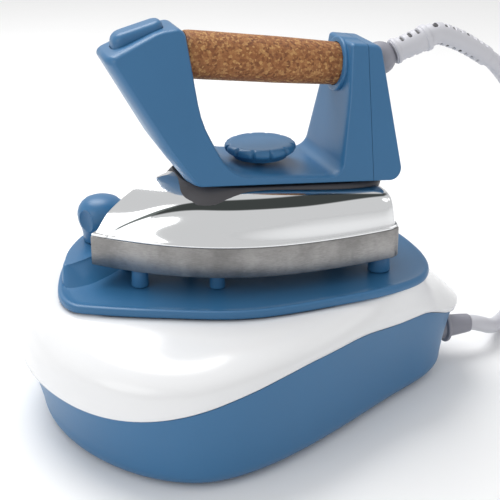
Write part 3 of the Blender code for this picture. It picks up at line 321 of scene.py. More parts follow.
def piece(name, bm, finish, body, stands_for=(), crease=35.0):
    """Link a mesh as one piece of the object, riding on a body and standing for CAD nodes."""
    bmesh.ops.remove_doubles(bm, verts=bm.verts, dist=0.000002)
    bmesh.ops.recalc_face_normals(bm, faces=bm.faces)
    mesh = bpy.data.meshes.new(name)
    bm.to_mesh(mesh)
    bm.free()
    mesh.materials.append(FINISHES[finish])
    mesh.shade_smooth()
    mesh.set_sharp_from_angle(angle=math.radians(crease))
    thing = bpy.data.objects.new(name, mesh)
    bpy.context.scene.collection.objects.link(thing)
    if body:
        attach(thing, body)
    if stands_for:
        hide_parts(*stands_for)
    return thing


def skin(bm, rings, closed=False):
    """Skin a row of equal rings, in millimetres, capped unless the row closes on itself."""
    rows = [[bm.verts.new(Vector(point) * MM) for point in ring] for ring in rings]
    pairs = list(zip(rows, rows[1:])) + ([(rows[-1], rows[0])] if closed else [])
    if not closed:
        bm.faces.new(rows[0])
        bm.faces.new(rows[-1])
    for low, high in pairs:
        for i, vertex in enumerate(low):
            j = (i + 1) % len(low)
            bm.faces.new((vertex, low[j], high[j], high[i]))
    return bm


def to_axis(centre, axis):
    """The placement that turns the upright axis to another and moves it to a centre."""
    turn = Vector((0, 0, 1)).rotation_difference(Vector(axis)).to_matrix().to_4x4()
    return Matrix.Translation(Vector(centre)) @ turn


def lathe(bm, profile, centre=(0, 0, 0), axis=(0, 0, 1), segments=72, ring=False, wave=None):
    """Turn a profile of (radius, height) about an axis; wave scales the radius at each angle."""
    place = to_axis(centre, axis)
    rings = []
    for radius, height in profile:
        row = []
        for angle in around(segments):
            r = max(radius, 0.01) * (wave(angle, radius, height) if wave else 1.0)
            row.append(place @ Vector((r * math.cos(angle), r * math.sin(angle), height)))
        rings.append(row)
    return skin(bm, rings, closed=ring)


def eased(profile, radius=0.8, steps=4):
    """The same profile with its inner corners turned into small arcs."""
    points = [Vector(p) for p in profile]
    path = [points[0]]
    for before, here, after in zip(points, points[1:], points[2:]):
        reach = min(radius, (before - here).length * 0.45, (after - here).length * 0.45)
        start = here + (before - here).normalized() * reach
        end = here + (after - here).normalized() * reach
        for step in range(steps + 1):
            t = step / steps
            path.append(start * (1 - t) ** 2 + here * 2 * t * (1 - t) + end * t * t)
    return [tuple(p) for p in path + [points[-1]]]


def carve(thing, tools, operation="DIFFERENCE"):
    """Cut a piece with other meshes, or join them to it, and keep only the result."""
    for tool in tools:
        modifier = thing.modifiers.new("cut", "BOOLEAN")
        modifier.operation, modifier.solver, modifier.object = operation, "EXACT", tool
    graph = bpy.context.evaluated_depsgraph_get()
    graph.update()
    mesh = bpy.data.meshes.new_from_object(thing.evaluated_get(graph))
    thing.modifiers.clear()
    thing.data = mesh
    mesh.shade_smooth()
    mesh.set_sharp_from_angle(angle=math.radians(CARVED_CREASE))
    for tool in tools:
        bpy.data.objects.remove(tool)
    return thing


def block(bm, size, centre, turn=0.0, bevel=0.0):
    """A bevelled block, in millimetres."""
    made = bmesh.ops.create_cube(bm, size=1.0)["verts"]
    bmesh.ops.scale(bm, vec=Vector(size) * MM, verts=made)
    if bevel:
        edges = list({edge for vertex in made for edge in vertex.link_edges})
        made = bmesh.ops.bevel(bm, geom=edges, offset=bevel * MM, segments=3, affect="EDGES",
                               profile=0.5)["verts"]
    place = Matrix.Translation(Vector(centre) * MM) @ Matrix.Rotation(turn, 4, "Z")
    bmesh.ops.transform(bm, matrix=place, verts=list(set(made)))
    return bm


def tool(bm):
    """A mesh to carve with."""
    return piece("tool", bm, "steel", None)


def spline(points, per_span=8):
    """A smooth line through points."""
    knots = [Vector(p) for p in points]
    knots = [knots[0] * 2 - knots[1]] + knots + [knots[-1] * 2 - knots[-2]]
    path = []
    for a, b, c, d in zip(knots, knots[1:], knots[2:], knots[3:]):
        path += interpolate_bezier(b, b + (c - a) / 6, c - (d - b) / 6, c, per_span + 1)[:-1]
    return [Vector(p) for p in path] + [knots[-2]]


def around(count, first=0.0):
    """Evenly spaced angles round a circle, the first a share of a step along."""
    return [2 * math.pi * (step + first) / count for step in range(count)]


def swept(cosine, power):
    """A cosine or sine squared off towards the corners."""
    return math.copysign(abs(cosine) ** power, cosine)


def arc_profile(radius, steps, height=None):
    """Half a circle, or half an ellipse, to turn into a ball."""
    angles = (math.pi * k / steps for k in range(steps + 1))
    return [(radius * math.sin(a), (height or radius) * math.cos(a)) for a in angles]


# ---- Steam hose ----

HOSE_EXIT, HOSE_EXIT_AXIS = Vector((180.75, 0.0, 233.75)), Vector((0.826, 0.0, -0.563))
HOSE_RADIUS, GLAND_HEIGHT = 6.0, 24.0
UPPER_ROUTE = [(187, 0, 229.5), (197, -1, 218.5), (209, -4, 201), (220, -9, 176), (230, -16, 146),
               (239, -26, 114), (248, -38, 86), (260, -50, 63), (277, -60, 47), (297, -66, 39.6)]
LOWER_ROUTE = [(245, 42, 6.6), (230, 28, 7.4), (217, 16, 10), (206, 7, 14.5), (196, 1.5, 20),
               (188, 0, 23.2), (183.3, 0, GLAND_HEIGHT)]
COIL_CENTRE, COIL_RADIUS, COIL_TURNS = Vector((312, 5, 0)), 72.0, 2.61
COIL_TOP, COIL_FLOOR = 38.0, 6.3

coil = []
coil_steps = int(COIL_TURNS * 20)
for step in range(coil_steps + 1):
    share = step / coil_steps
    angle = math.radians(-90 + 360 * COIL_TURNS * share)
    coil.append(COIL_CENTRE + Vector((COIL_RADIUS * math.cos(angle), COIL_RADIUS * math.sin(angle),
                                      COIL_TOP + (COIL_FLOOR - COIL_TOP) * share)))
hose_start = HOSE_EXIT + HOSE_EXIT_AXIS * 0.4
hose_line = spline([hose_start] + UPPER_ROUTE + coil + LOWER_ROUTE, 5)


def ahead_at(line, index):
    """The direction of a line at one of its points."""
    return (line[min(index + 1, len(line) - 1)] - line[max(index - 1, 0)]).normalized()


def line_length(line):
    return sum((b - a).length for a, b in zip(line, line[1:]))


def hose_mesh(line, radius, segments=20):
    """A round tube whose rings turn as little as possible along the line."""
    ahead = (line[1] - line[0]).normalized()
    side = ahead.cross(Vector((0, 1, 0))).normalized()
    rings = []
    for index, point in enumerate(line):
        new = ahead_at(line, index)
        side = ahead.rotation_difference(new) @ side
        side = (side - new * side.dot(new)).normalized()
        ahead = new
        up = ahead.cross(side)
        rings.append([point + side * (radius * math.cos(a)) + up * (radius * math.sin(a))
                      for a in around(segments)])
    return skin(bmesh.new(), rings)


hose = piece("steam_hose", hose_mesh(hose_line, HOSE_RADIUS), "hose_rubber", None)
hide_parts("hose_upper", "hose_coil", "hose_lower")
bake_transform(hose)
hose_length = line_length(hose_line) * MM

TIE_HALF_WIDTH, TIE_HALF_HEIGHT, TIE_UNDERSIDE = 9.2, 21.0, -20.4
tie_centre = COIL_CENTRE + Vector((COIL_RADIUS, 0, 21))
band = [(TIE_HALF_WIDTH * swept(math.cos(a), 0.5), TIE_HALF_HEIGHT * swept(math.sin(a), 0.5))
        for a in around(40)]
tie_rings = []
for sunk, half in ((1.0, -4.0), (0.0, -3.4), (0.0, 3.4), (1.0, 4.0), (2.0, 3.4), (2.0, -3.4)):
    tie_rings.append([tie_centre + Vector((x * (1 - sunk / 12), half,
                                           max(z * (1 - sunk / 24), TIE_UNDERSIDE)))
                      for x, z in band])
hose_tie = piece("hose_tie", skin(bmesh.new(), tie_rings, closed=True), "black_rubber", "station")

# Bend sleeve and slotted protector.
RING_END = Vector((134.0, 0.0, 251.0))
HOSE_BALL, BALL_RADIUS = Vector((98.0, 0.0, 238.5)), 11.5
sleeve_axis = (RING_END - HOSE_BALL).normalized()
sleeve_start = HOSE_BALL + sleeve_axis * (BALL_RADIUS - 1.2)
reach = (RING_END - sleeve_start).length


SLOT_FLOOR = 2.2  # four corners this deep in all make a face of a slot's floor


def slotted(bm, line, radii, slots, wall=1.4):
    """A flexible sleeve along a line, with a row of short slots pressed in on opposite sides.

    The slots run from a start to an end along the line, at a pitch."""
    start, end, pitch = slots
    rings, depths = [], []
    total = line_length(line)
    run = 0.0
    up = Vector((0, 1, 0))
    for index, point in enumerate(line):
        if index:
            run += (point - line[index - 1]).length
        side = up.cross(ahead_at(line, index)).normalized()
        radius = radii[0] + (radii[1] - radii[0]) * (run / total)
        phase = ((run - start) / pitch) % 1.0
        along = smooth(phase, 0.10, 0.22) * (1 - smooth(phase, 0.48, 0.60))
        row = []
        for angle in around(48, 0.5):
            deep = along * smooth(math.cos(2 * angle), 0.10, 0.35) if start < run < end else 0.0
            r = radius - wall * deep
            row.append(point + side * (r * math.cos(angle)) + up * (r * math.sin(angle)))
            depths.append(deep)
        rings.append(row)
    skin(bm, rings)
    bm.verts.index_update()
    first = len(bm.verts) - len(depths)
    for face in bm.faces:
        corners = [vertex.index for vertex in face.verts]
        if len(corners) == 4 and min(corners) >= first:
            # Faces of the slot floors take the second material, which holds the painted shade of
            # the recesses.
            face.material_index = int(sum(depths[c - first] for c in corners) > SLOT_FLOOR)
    return bm


def paint_slot_shade(thing):
    """The floors of the slots get a charcoal colour: painted shade in the recesses."""
    thing.data.materials.append(FINISHES["charcoal_plastic"])


sleeve = bmesh.new()
sleeve_line = [sleeve_start + sleeve_axis * (reach * k / 70) for k in range(71)]
slotted(sleeve, sleeve_line, (8.1, 8.9), (6, reach - 6, 6.2))
for bead in ([(0.1, reach - 4.2), (8.8, reach - 4.2), (9.5, reach - 3.6), (9.5, reach - 0.5),
              (8.8, reach), (0.1, reach)],
             [(0.1, 0.6), (8.9, 0.6), (9.3, 2.4), (8.6, 4.0), (0.1, 4.0)]):
    lathe(sleeve, eased(bead, 0.5), sleeve_start, sleeve_axis, 64)
bend_sleeve = piece("hose_bend_sleeve", sleeve, "hose_rubber", "iron", ("bend_sleeve",))
paint_slot_shade(bend_sleeve)

protector_line = spline([RING_END + sleeve_axis * 0.3, RING_END + sleeve_axis * 5,
                         (144, 0, 252.4), (153, 0, 249.2), (163, 0, 244.6),
                         HOSE_EXIT - HOSE_EXIT_AXIS * 5, HOSE_EXIT], 22)
protector = bmesh.new()
slotted(protector, protector_line, (7.9, 7.0), (3, 46, 5.8), wall=1.3)
bend_protector = piece("hose_bend_protector", protector, "hose_rubber", "iron",
                       ("bend_protector",))
paint_slot_shade(bend_protector)



def boot_grooves(angle, radius, height):
    """Four shallow grooves along the boot."""
    return 1 - 0.07 * (169 < height < 181 and math.cos(4 * angle) > 0.4)


boot = [(0.1, 183.0), (7.0, 183.0), (7.6, 178.0), (8.4, 168), (8.6, 164.2), (11.6, 163.4),
        (12.0, 162.6), (12.0, 161.2), (11.4, 160.8), (9.0, 160.6), (9.0, 142), (0.1, 142)]
gland = lathe(bmesh.new(), eased(boot, 0.6), (0, 0, GLAND_HEIGHT), (1, 0, 0), 56, wave=boot_grooves)
hose_gland = piece("hose_gland_boot", gland, "grey_rubber", "station", ("hose_gland",))

[tuple(point * MM) for point in hose_line]


# ---- Station shells ----

SEGMENTS = 200
HULL_FLOOR, HULL_ROUND, WALL, GAP = 1.5, 12.0, 3.0, 0.3
PLATE_UNDER, PLATE_TRAY, DECK_TOP = 93.0, 98.0, 110.5


def hull_outline():
    """The base's outline: a broad round front and a narrower rear, the same on both sides."""
    half = []
    for span in (((-143, 0), (-143, 59), (-100, 119), (-56, 119)),
                 ((-56, 119), (-10, 119), (52, 73), (106, 46)),
                 ((106, 46), (127, 35.5), (149, 24), (149, 0))):
        handles = [Vector((*p, 0)) for p in span]
        half += [Vector((p.x, p.y)) for p in interpolate_bezier(*handles, 60)[:-1]]
    return half + [Vector((149, 0))] + [Vector((p.x, -p.y)) for p in reversed(half[1:])]


def round_loop(knots, per_span):
    """A smooth closed outline through points."""
    loop = [Vector((*p, 0)) for p in knots]
    path = []
    for i in range(len(loop)):
        a, b, c, d = (loop[(i + k) % len(loop)] for k in (-1, 0, 1, 2))
        bow = interpolate_bezier(b, b + (c - a) / 6, c - (d - b) / 6, c, per_span + 1)
        path += [Vector((p.x, p.y)) for p in bow[:-1]]
    return path


FOOT_LINE = hull_outline()
PLATE_LINE = round_loop([(-134, -8), (-131, -31), (-118, -42), (-77, -61), (-22, -80), (40, -79),
                         (89, -71.5), (116, -56), (128, -24), (128, 24), (116, 56), (89, 71.5),
                         (40, 79), (-22, 84), (-70, 82), (-104, 67), (-122, 38)], 16)


def by_angle(outline, offset=0.0, lean=0.0, tail=0.0):
    """The outline moved outward, further forward by lean at the front and back by tail at the
    rear, with its points at equal angles so that rings can be skinned."""
    count = len(outline)
    grown = []
    for i, point in enumerate(outline):
        along = outline[(i + 1) % count] - outline[i - 1]
        normal = Vector((along.y, -along.x)).normalized()
        if normal.dot(point) < 0:
            normal.negate()
        moved = point + normal * offset
        moved.x += tail * smooth(moved.x, 40, 150) - lean * smooth(-moved.x, 20, 150)
        grown.append(moved)
    grown.sort(key=lambda p: math.atan2(p.y, p.x))
    angles = [math.atan2(p.y, p.x) for p in grown]
    radii = [p.length for p in grown]
    angles = [angles[-1] - 2 * math.pi] + angles + [angles[0] + 2 * math.pi]
    radii = [radii[-1]] + radii + [radii[0]]
    ring, index = [], 1
    for turned in around(SEGMENTS, 0.5):
        angle = turned - math.pi
        while angles[index] < angle:
            index += 1
        share = (angle - angles[index - 1]) / (angles[index] - angles[index - 1])
        radius = radii[index - 1] + (radii[index] - radii[index - 1]) * share
        ring.append(Vector((radius * math.cos(angle), radius * math.sin(angle))))
    return ring


def parting_height(x):
    """Height of the wavy joint between the blue tub and the white shell."""
    crest = 3.5 * smooth(x, -35, 15) * (1 - smooth(x, 45, 95))
    drop = 4.0 * smooth(x, 54, 120) + 15.0 * smooth(x, 114, 160)
    return 45.0 + 24.0 * smooth(x, -141, -11) + crest - drop


def bulge_height(x):
    """Height of the white shell's widest line."""
    return 66.0 + 11.0 * smooth(x, -120, -20) - 20.0 * smooth(x, 85, 162)


def raised(ring, height):
    """A flat ring lifted to a height, or to a height that follows x."""
    return [(p.x, p.y, height(p.x) if callable(height) else height) for p in ring]


def tub_wall(share, thickness=0.0):
    """A ring of the tub's side, from the floor's rounding (0) to the joint (1)."""
    offset = 7.5 + 3.5 * share - thickness
    lean = -4.0 + 3.6 * share + 1.4 * share * share
    tail = -3.0 + 4.0 * share ** 1.6
    base = HULL_FLOOR + HULL_ROUND
    return raised(by_angle(FOOT_LINE, offset, lean, tail),
                  lambda x: base + (parting_height(x) - GAP / 2 - base) * share)


def tub_corner(angle, radius, floor):
    """A ring of the rounding between the tub's floor and its side."""
    swing = math.radians(angle)
    out = math.sin(swing)
    return raised(by_angle(FOOT_LINE, 7.5 - HULL_ROUND + radius * out, -4.0 * out, -3.0),
                  floor + radius * (1 - math.cos(swing)))


tub = bmesh.new()
skin(tub, [tub_corner(angle, HULL_ROUND, HULL_FLOOR) for angle in (0, 12, 24, 36, 48, 60, 72, 82)]
     + [tub_wall(k / 8) for k in range(9)]
     + [tub_wall(1.0, 0.8)]
     + [tub_wall(k / 3, WALL) for k in (3, 2, 1, 0)]
     + [tub_corner(angle, HULL_ROUND - WALL, HULL_FLOOR + WALL) for angle in (60, 30, 0)])
station_tub = piece("station_tub", tub, "blue_plastic", "station", ("lower_housing",))
flank = Vector((0.447, 0.894, 0)).normalized()
flank_turn = math.atan2(flank.y, flank.x) - math.pi / 2
cuts = [tool(block(bmesh.new(), (58, 30, 26), (52, 87, 42), turn=flank_turn)),
        tool(lathe(bmesh.new(), [(9.3, -20), (9.3, 20)], (150, 0, GLAND_HEIGHT), (1, 0, 0), 48)),
        tool(lathe(bmesh.new(), [(6.3, -15), (6.3, 15)], (121, 50.5, 26), flank, 40))]
bores = bmesh.new()
for x, y in ((-92, -60), (-92, 60), (92, -30), (92, 30)):
    lathe(bores, [(3.3, -2), (3.3, 10)], (x, y, 0), segments=28)
for x, y in ((-36, -62), (-18, 68), (74, -44), (74, 44)):
    lathe(bores, [(5.0, -0.7), (5.0, 3.3), (2.9, 3.3), (2.9, 10)], (x, y, 0), segments=32)
cuts.append(tool(bores))
carve(station_tub, cuts)


def shell_foot(offset, lean, tail, rise):
    """A ring of the white shell's rolled edge, just above the joint."""
    return raised(by_angle(FOOT_LINE, offset, lean, tail),
                  lambda x: parting_height(x) + GAP + rise)


def dome(thickness, angle, top):
    """A ring of the white shell, from its widest line (0) to the rest tray (90)."""
    low = by_angle(FOOT_LINE, 13.5 - thickness, 3.6, 2.6)
    high = by_angle(PLATE_LINE, -3.0 - thickness)
    swing = math.radians(angle)
    climb = math.sin(swing)
    ring = []
    for l, h in zip(low, high):
        flat = smooth(l.x, 50, 140)
        share = (1 - flat) * math.cos(swing) + flat * (1 - climb) if angle < 90 else 0.0
        spot = h + (l - h) * share
        ring.append((spot.x, spot.y, bulge_height(l.x) + (top - bulge_height(l.x)) * climb))
    return ring


def foot_blend(share):
    """Between the rolled edge at the parting line and the widest line."""
    low = shell_foot(13.0, 3.0, 2.2, 2.4)
    high = dome(0.0, 0, PLATE_UNDER - GAP)
    swing = math.radians(90 * share)
    return [tuple(Vector(a) + Vector(((b[0] - a[0]) * math.sin(swing),
                                      (b[1] - a[1]) * math.sin(swing), (b[2] - a[2]) * share)))
            for a, b in zip(low, high)]


shell = bmesh.new()
skin(shell, [shell_foot(9.0, 1.4, 1.2, 0.0), shell_foot(10.6, 1.7, 1.4, 0.1),
             shell_foot(11.8, 2.1, 1.6, 0.6), shell_foot(12.6, 2.6, 1.9, 1.4)]
     + [foot_blend(k / 4) for k in range(4)]
     + [dome(0.0, angle, PLATE_UNDER - GAP)
        for angle in (0, 6, 12, 18, 25, 32, 40, 48, 56, 64, 72, 80, 90)]
     + [dome(WALL, angle, PLATE_UNDER - GAP - WALL * 0.6) for angle in (90, 60, 30, 0)]
     + [shell_foot(8.4, 1.2, 1.0, 1.6)], closed=True)
piece("station_shell", shell, "white_plastic", "station", ("upper_housing",))


# ---- Rest tray, pads and filler ----

tray = bmesh.new()
skin(tray, [raised(by_angle(PLATE_LINE, offset), height) for offset, height in
            ((-4.0, PLATE_UNDER), (-1.6, PLATE_UNDER + 0.2), (-0.5, PLATE_UNDER + 0.9),
             (0.0, PLATE_UNDER + 2.0), (0.1, PLATE_UNDER + 3.4), (0.0, PLATE_TRAY - 0.4),
             (-0.4, PLATE_TRAY + 0.5), (-1.2, PLATE_TRAY + 1.1), (-2.2, PLATE_TRAY + 1.3),
             (-3.6, PLATE_TRAY + 1.0), (-5.6, PLATE_TRAY + 0.3), (-9.0, PLATE_TRAY))])
DECK_FOOT = round_loop([(-128.5, -3), (-126, 18), (-119, 37), (-104, 61), (-84, 75), (-62, 80),
                        (-38, 82), (-40, 60), (-60, 40), (-80, 22), (-96, 8), (-112, -3)], 8)
DECK_EDGE = round_loop([(-126.5, 6), (-124, 18), (-117.5, 36), (-103, 59.5), (-84, 73), (-64, 77),
                        (-54, 77), (-54, 66), (-68, 49), (-84, 35), (-99, 21), (-113, 11)], 8)
deck_middle = Vector((-92.0, 45.0))


def deck_ring(share, height, shrink=1.0):
    """A ring of the filler deck, from its foot (0) to its upper edge (1)."""
    return [(*(deck_middle + (f + (e - f) * share - deck_middle) * shrink), height)
            for f, e in zip(DECK_FOOT, DECK_EDGE)]


rest_tray = piece("rest_tray", tray, "blue_plastic", "station", ("rest_plate",), crease=50.0)
deck = bmesh.new()
skin(deck, [deck_ring(-0.10, PLATE_TRAY - 1.0), deck_ring(0.0, PLATE_TRAY + 0.1),
            deck_ring(0.10, PLATE_TRAY + 1.0), deck_ring(0.85, DECK_TOP - 2.6),
            deck_ring(0.96, DECK_TOP - 1.4), deck_ring(1.0, DECK_TOP - 0.6, 0.99),
            deck_ring(1.0, DECK_TOP - 0.1, 0.975), deck_ring(1.0, DECK_TOP, 0.955)])
filler_deck = piece("filler_deck", deck, "blue_plastic", "station", crease=50.0)
CAP_X, CAP_Y = -91.5, 46.0
for plate in (rest_tray, filler_deck):
    bore = lathe(bmesh.new(), [(11.6, -6), (11.6, 30)], (CAP_X, CAP_Y, 84), segments=56)
    carve(plate, [tool(bore)])

PAD_FOOT, PAD_TOP = PLATE_TRAY + 0.3, 110.7
pads = bmesh.new()
for x, y, radius in ((-79, 15.5, 6.0), (-30, 34, 5.5), (86, 40, 8.0)):
    peg = [(0.1, PAD_FOOT), (radius, PAD_FOOT), (radius * 0.9, PAD_TOP), (0.1, PAD_TOP)]
    for sign in (-1, 1):
        lathe(pads, eased(peg, 1.2, 5), (x, sign * y, 0), segments=40)
piece("rest_pads", pads, "blue_plastic", "station",
      [f"rest_pad_{place}_{side}"
       for place in ("front", "middle", "rear") for side in ("near", "far")])

knob_top = DECK_TOP + 33.0
knob = bmesh.new()
bulb = [(0.1, knob_top), (4, knob_top - 0.2), (8, knob_top - 1.0), (11.5, knob_top - 2.4),
        (14.2, knob_top - 4.8), (16.2, knob_top - 7.8), (17.2, knob_top - 11),
        (17.4, knob_top - 13.5), (17.0, knob_top - 17), (16.2, knob_top - 20),
        (15.0, knob_top - 23), (14.3, knob_top - 26), (14.0, knob_top - 29), (14.1, DECK_TOP + 1.6),
        (13.8, DECK_TOP + 0.8), (13.2, DECK_TOP + 0.5), (6.4, DECK_TOP + 0.5), (6.4, DECK_TOP + 14),
        (0.1, DECK_TOP + 14)]
lathe(knob, bulb, (CAP_X, CAP_Y, 0), segments=80)
cap_knob = piece("filler_cap_knob", knob, "blue_plastic", "cap", ("cap_knob",), crease=40.0)
THUMB_REACH = 23.0
hollows = []
for sign in (-1, 1):
    spot = (CAP_X - 0.82 * sign * THUMB_REACH, CAP_Y - 0.57 * sign * THUMB_REACH, knob_top - 15.5)
    hollows.append(tool(lathe(bmesh.new(), arc_profile(9.6, 18, 14.0), spot, segments=48)))
carve(cap_knob, hollows)


# ---- Iron ----

SOLE_BOTTOM, SOLE_THICKNESS, SOLE_TIP, SOLE_HEEL = 111.0, 21.0, -108.5, 96.5
SOLE_TOP = SOLE_BOTTOM + SOLE_THICKNESS
SOLE_HALF, WIDEST = 58.7, 0.65


def half_width(share):
    """Half the sole's width, a share of the way from its tip to its heel."""
    if share < WIDEST:
        return SOLE_HALF * (1 - (1 - share / WIDEST) ** 2.22)
    back = (share - WIDEST) / (1 - WIDEST)
    return SOLE_HALF - 7.3 * back * back


def iron_ring(tip, heel, inset, height, steps=54, corner=5.0):
    """The iron's outline, from a tip to a heel with rounded corners."""
    scale = 1 - inset / SOLE_HALF
    length = heel - tip
    last = 1 - corner / length
    spread = [last * (step / steps) ** 1.5 for step in range(steps + 1)]
    side = [(tip + share * length, half_width(share) * scale) for share in spread]
    edge = half_width(1.0) * scale
    for angle in (15, 30, 45, 60, 75, 90):
        swing = math.radians(angle)
        side.append((heel - corner + corner * math.sin(swing),
                     edge - corner * (1 - math.cos(swing))))
    ring = side[:1] + [(x, -y) for x, y in side[1:]] + [(x, y) for x, y in reversed(side[1:])]
    return [(x, y, height(x) if callable(height) else height) for x, y in ring]


sole = bmesh.new()
skin(sole, [iron_ring(SOLE_TIP + 1.5, SOLE_HEEL - 0.8, 0.9, SOLE_BOTTOM),
            iron_ring(SOLE_TIP + 0.5, SOLE_HEEL - 0.3, 0.3, SOLE_BOTTOM + 0.3),
            iron_ring(SOLE_TIP, SOLE_HEEL, 0.0, SOLE_BOTTOM + 1.0),
            iron_ring(SOLE_TIP, SOLE_HEEL, 0.0, SOLE_TOP - 0.8),
            iron_ring(SOLE_TIP + 0.3, SOLE_HEEL - 0.2, 0.2, SOLE_TOP - 0.2),
            iron_ring(SOLE_TIP + 0.8, SOLE_HEEL - 0.5, 0.5, SOLE_TOP)])
iron_sole = piece("iron_sole", sole, "aluminium", "iron", ("soleplate",))
pocket = bmesh.new()
skin(pocket, [iron_ring(SOLE_TIP + 34, SOLE_HEEL - 14, 17, height)
              for height in (SOLE_TOP - 12, SOLE_TOP + 4)])
holes = bmesh.new()
for x, y in ((-62, 0), (-52, -11), (-52, 11), (-38, -19), (-38, 19), (-40, 0), (-20, -25),
             (-20, 25), (0, -29), (0, 29)):
    lathe(holes, [(3.0, -1), (3.0, 0.3), (1.8, 1.4), (1.8, 12)], (x, y, SOLE_BOTTOM), segments=24)
carve(iron_sole, [tool(pocket), tool(holes)])


def chrome_height(share, lift=0.0):
    """The chrome cover's height along the iron, a share of the way up its rise."""
    def height(x):
        return SOLE_TOP + GAP + (37.7 - 12.2 * smooth(x, -75, 125)) * share + lift
    return height


# Each ring: setback at the tip, inset at the sides, inset at the heel, share of the rise.
CHROME_RINGS = [(1.5, 0.9, 1.0, 0.0), (5.0, 2.0, 2.0, 0.10), (12.0, 2.9, 2.7, 0.38),
                (21.0, 4.2, 3.4, 0.60), (31.0, 6.6, 4.8, 0.79), (41.0, 11.0, 8.0, 0.92),
                (49.0, 17.0, 13.0, 0.98), (54.0, 24.0, 19.0, 1.0)]
CHROME_WALL, CHROME_CORNER = 1.2, 6.0


def pressed(x, y, z):
    """Depth of the crease where the leaf-shaped side panel meets the shoulder."""
    crease = 159.3 - 0.00072 * (x - 8) ** 2 - 0.0047 * max(-x - 38, 0) ** 2
    return 0.9 * math.exp(-((z - crease) / 2.2) ** 2) * smooth(abs(y), 5, 14)


def chrome_stations():
    """The cover's section, smoothed."""
    line = spline([(s, i, h) for s, i, h, _ in CHROME_RINGS], 8)
    rises = spline([(r, 0, 0) for _, _, _, r in CHROME_RINGS], 8)
    return [(spot.x, spot.y, spot.z, min(rise.x, 1.0)) for spot, rise in zip(line, rises)]


def chrome_ring(setback, inset, heel_inset, height):
    return iron_ring(SOLE_TIP + setback, SOLE_HEEL - heel_inset, inset, height,
                     corner=CHROME_CORNER)


outer = [chrome_ring(s, i, h, chrome_height(r)) for s, i, h, r in chrome_stations()[1:]]
outer = [[(x, y - math.copysign(pressed(x, y, z), y), z) for x, y, z in ring] for ring in outer]
lip = [chrome_ring(s, i, h, SOLE_TOP + GAP + rise)
       for s, i, h, rise in ((1.6, 1.0, 0.9, 1.9), (0.8, 0.4, 0.4, 1.3), (0.5, 0.3, 0.3, 0.7),
                             (0.8, 0.5, 0.5, 0.0), (4.2, 2.6, 2.8, 0.0))]
inner = [chrome_ring(s + CHROME_WALL, i + CHROME_WALL, h + CHROME_WALL,
                     chrome_height(r, -CHROME_WALL))
         for s, i, h, r in CHROME_RINGS[1:]]
chrome = skin(bmesh.new(), list(reversed(outer)) + lip + inner)
piece("chrome_hood", chrome, "chrome", "iron", ("chrome_cover",), crease=50.0)

# Each ring: front, rear, half width, height at the front, height at the rear.
SKIRT_RINGS = [(-66, 92, 42.5, 150, 147), (-61, 93, 42.0, 157, 152), (-56, 93.8, 41.0, 162, 155.4),
               (-52, 95, 39.6, 166.0, 158.0), (-49.4, 95.8, 38.0, 168.6, 160.0),
               (-48, 96, 36.6, 169.9, 160.8)]
skirt_rings = []
for front, rear, half, z_front, z_rear in SKIRT_RINGS:
    ring = []
    for angle in around(120):
        x = (front + rear) / 2 + (rear - front) / 2 * swept(math.cos(angle), 0.55)
        y = half * (1 - 0.24 * smooth(-x, 20, 66)) * swept(math.sin(angle), 0.5)
        ring.append((x, y, z_front + (z_rear - z_front) * (x - front) / (rear - front)))
    skirt_rings.append(ring)
piece("handle_skirt", skin(bmesh.new(), skirt_rings), "charcoal_plastic", "iron", ("heat_shield",))

# The handle seen from the side: x, z and rounding of each corner.
HANDLE_CORNERS = [
    (-100.5, 255.0, 4), (-66.5, 195, 110), (-49.5, 170.8, 9), (103.5, 161.2, 9),
    (90.2, 252.0, 5), (68.5, 255.0, 2.5), (65.5, 222, 140), (57.0, 169.4, 9),
    (-19.5, 176.5, 24), (-37.0, 211, 70), (-44.5, 271.5, 6), (-60, 270.0, 30)]
SPLIT_X, DIAL_X, DIAL_TOP = 80.0, 11.6, 187.0
BUTTON_X, BUTTON_TOP, BUTTON_DEPTH = -72.2, 271.6, 12.6
GRIP_CENTRE, GRIP_TILT, GRIP_LENGTH = Vector((13.0, 0, 244.1)), math.atan(0.13), 112.0
FRONT_RADIUS, REAR_RADIUS = 15.8, 14.4
GRIP_AXIS = Vector((math.cos(GRIP_TILT), 0, -math.sin(GRIP_TILT)))


def handle_half_width(z):
    return 19.0 + 0.195 * (266.0 - z)


def inset_corners(amount):
    """The handle's corners, moved inward with their roundings."""
    spots = [Vector(corner[:2]) for corner in HANDLE_CORNERS]
    moved = []
    for i, spot in enumerate(spots):
        before = (spot - spots[i - 1]).normalized()
        after = (spots[(i + 1) % len(spots)] - spot).normalized()
        bend = before.x * after.y - before.y * after.x
        inward = Vector((-before.y - after.y, before.x + after.x))
        inward *= amount / (1 + before.dot(after))
        rounding = max(HANDLE_CORNERS[i][2] - math.copysign(amount, bend), 0.8)
        moved.append((*(spot + inward), rounding))
    return moved


def rounded_outline(corners, step_angle=6.0):
    """The outline through corners, each turned into an arc."""
    count = len(corners)
    path = []
    for i, (x, z, radius) in enumerate(corners):
        here = Vector((x, z))
        before = (Vector(corners[i - 1][:2]) - here).normalized()
        after = (Vector(corners[(i + 1) % count][:2]) - here).normalized()
        half = before.angle(after) / 2
        reach = radius / math.tan(half)
        middle = here + (before + after).normalized() * (radius / math.sin(half))
        start = here + before * reach - middle
        sweep = start.angle_signed(here + after * reach - middle)
        steps = max(3, round(abs(math.degrees(sweep)) / step_angle))
        path += [middle + Matrix.Rotation(-sweep * step / steps, 2) @ start
                 for step in range(steps + 1)]
    return path


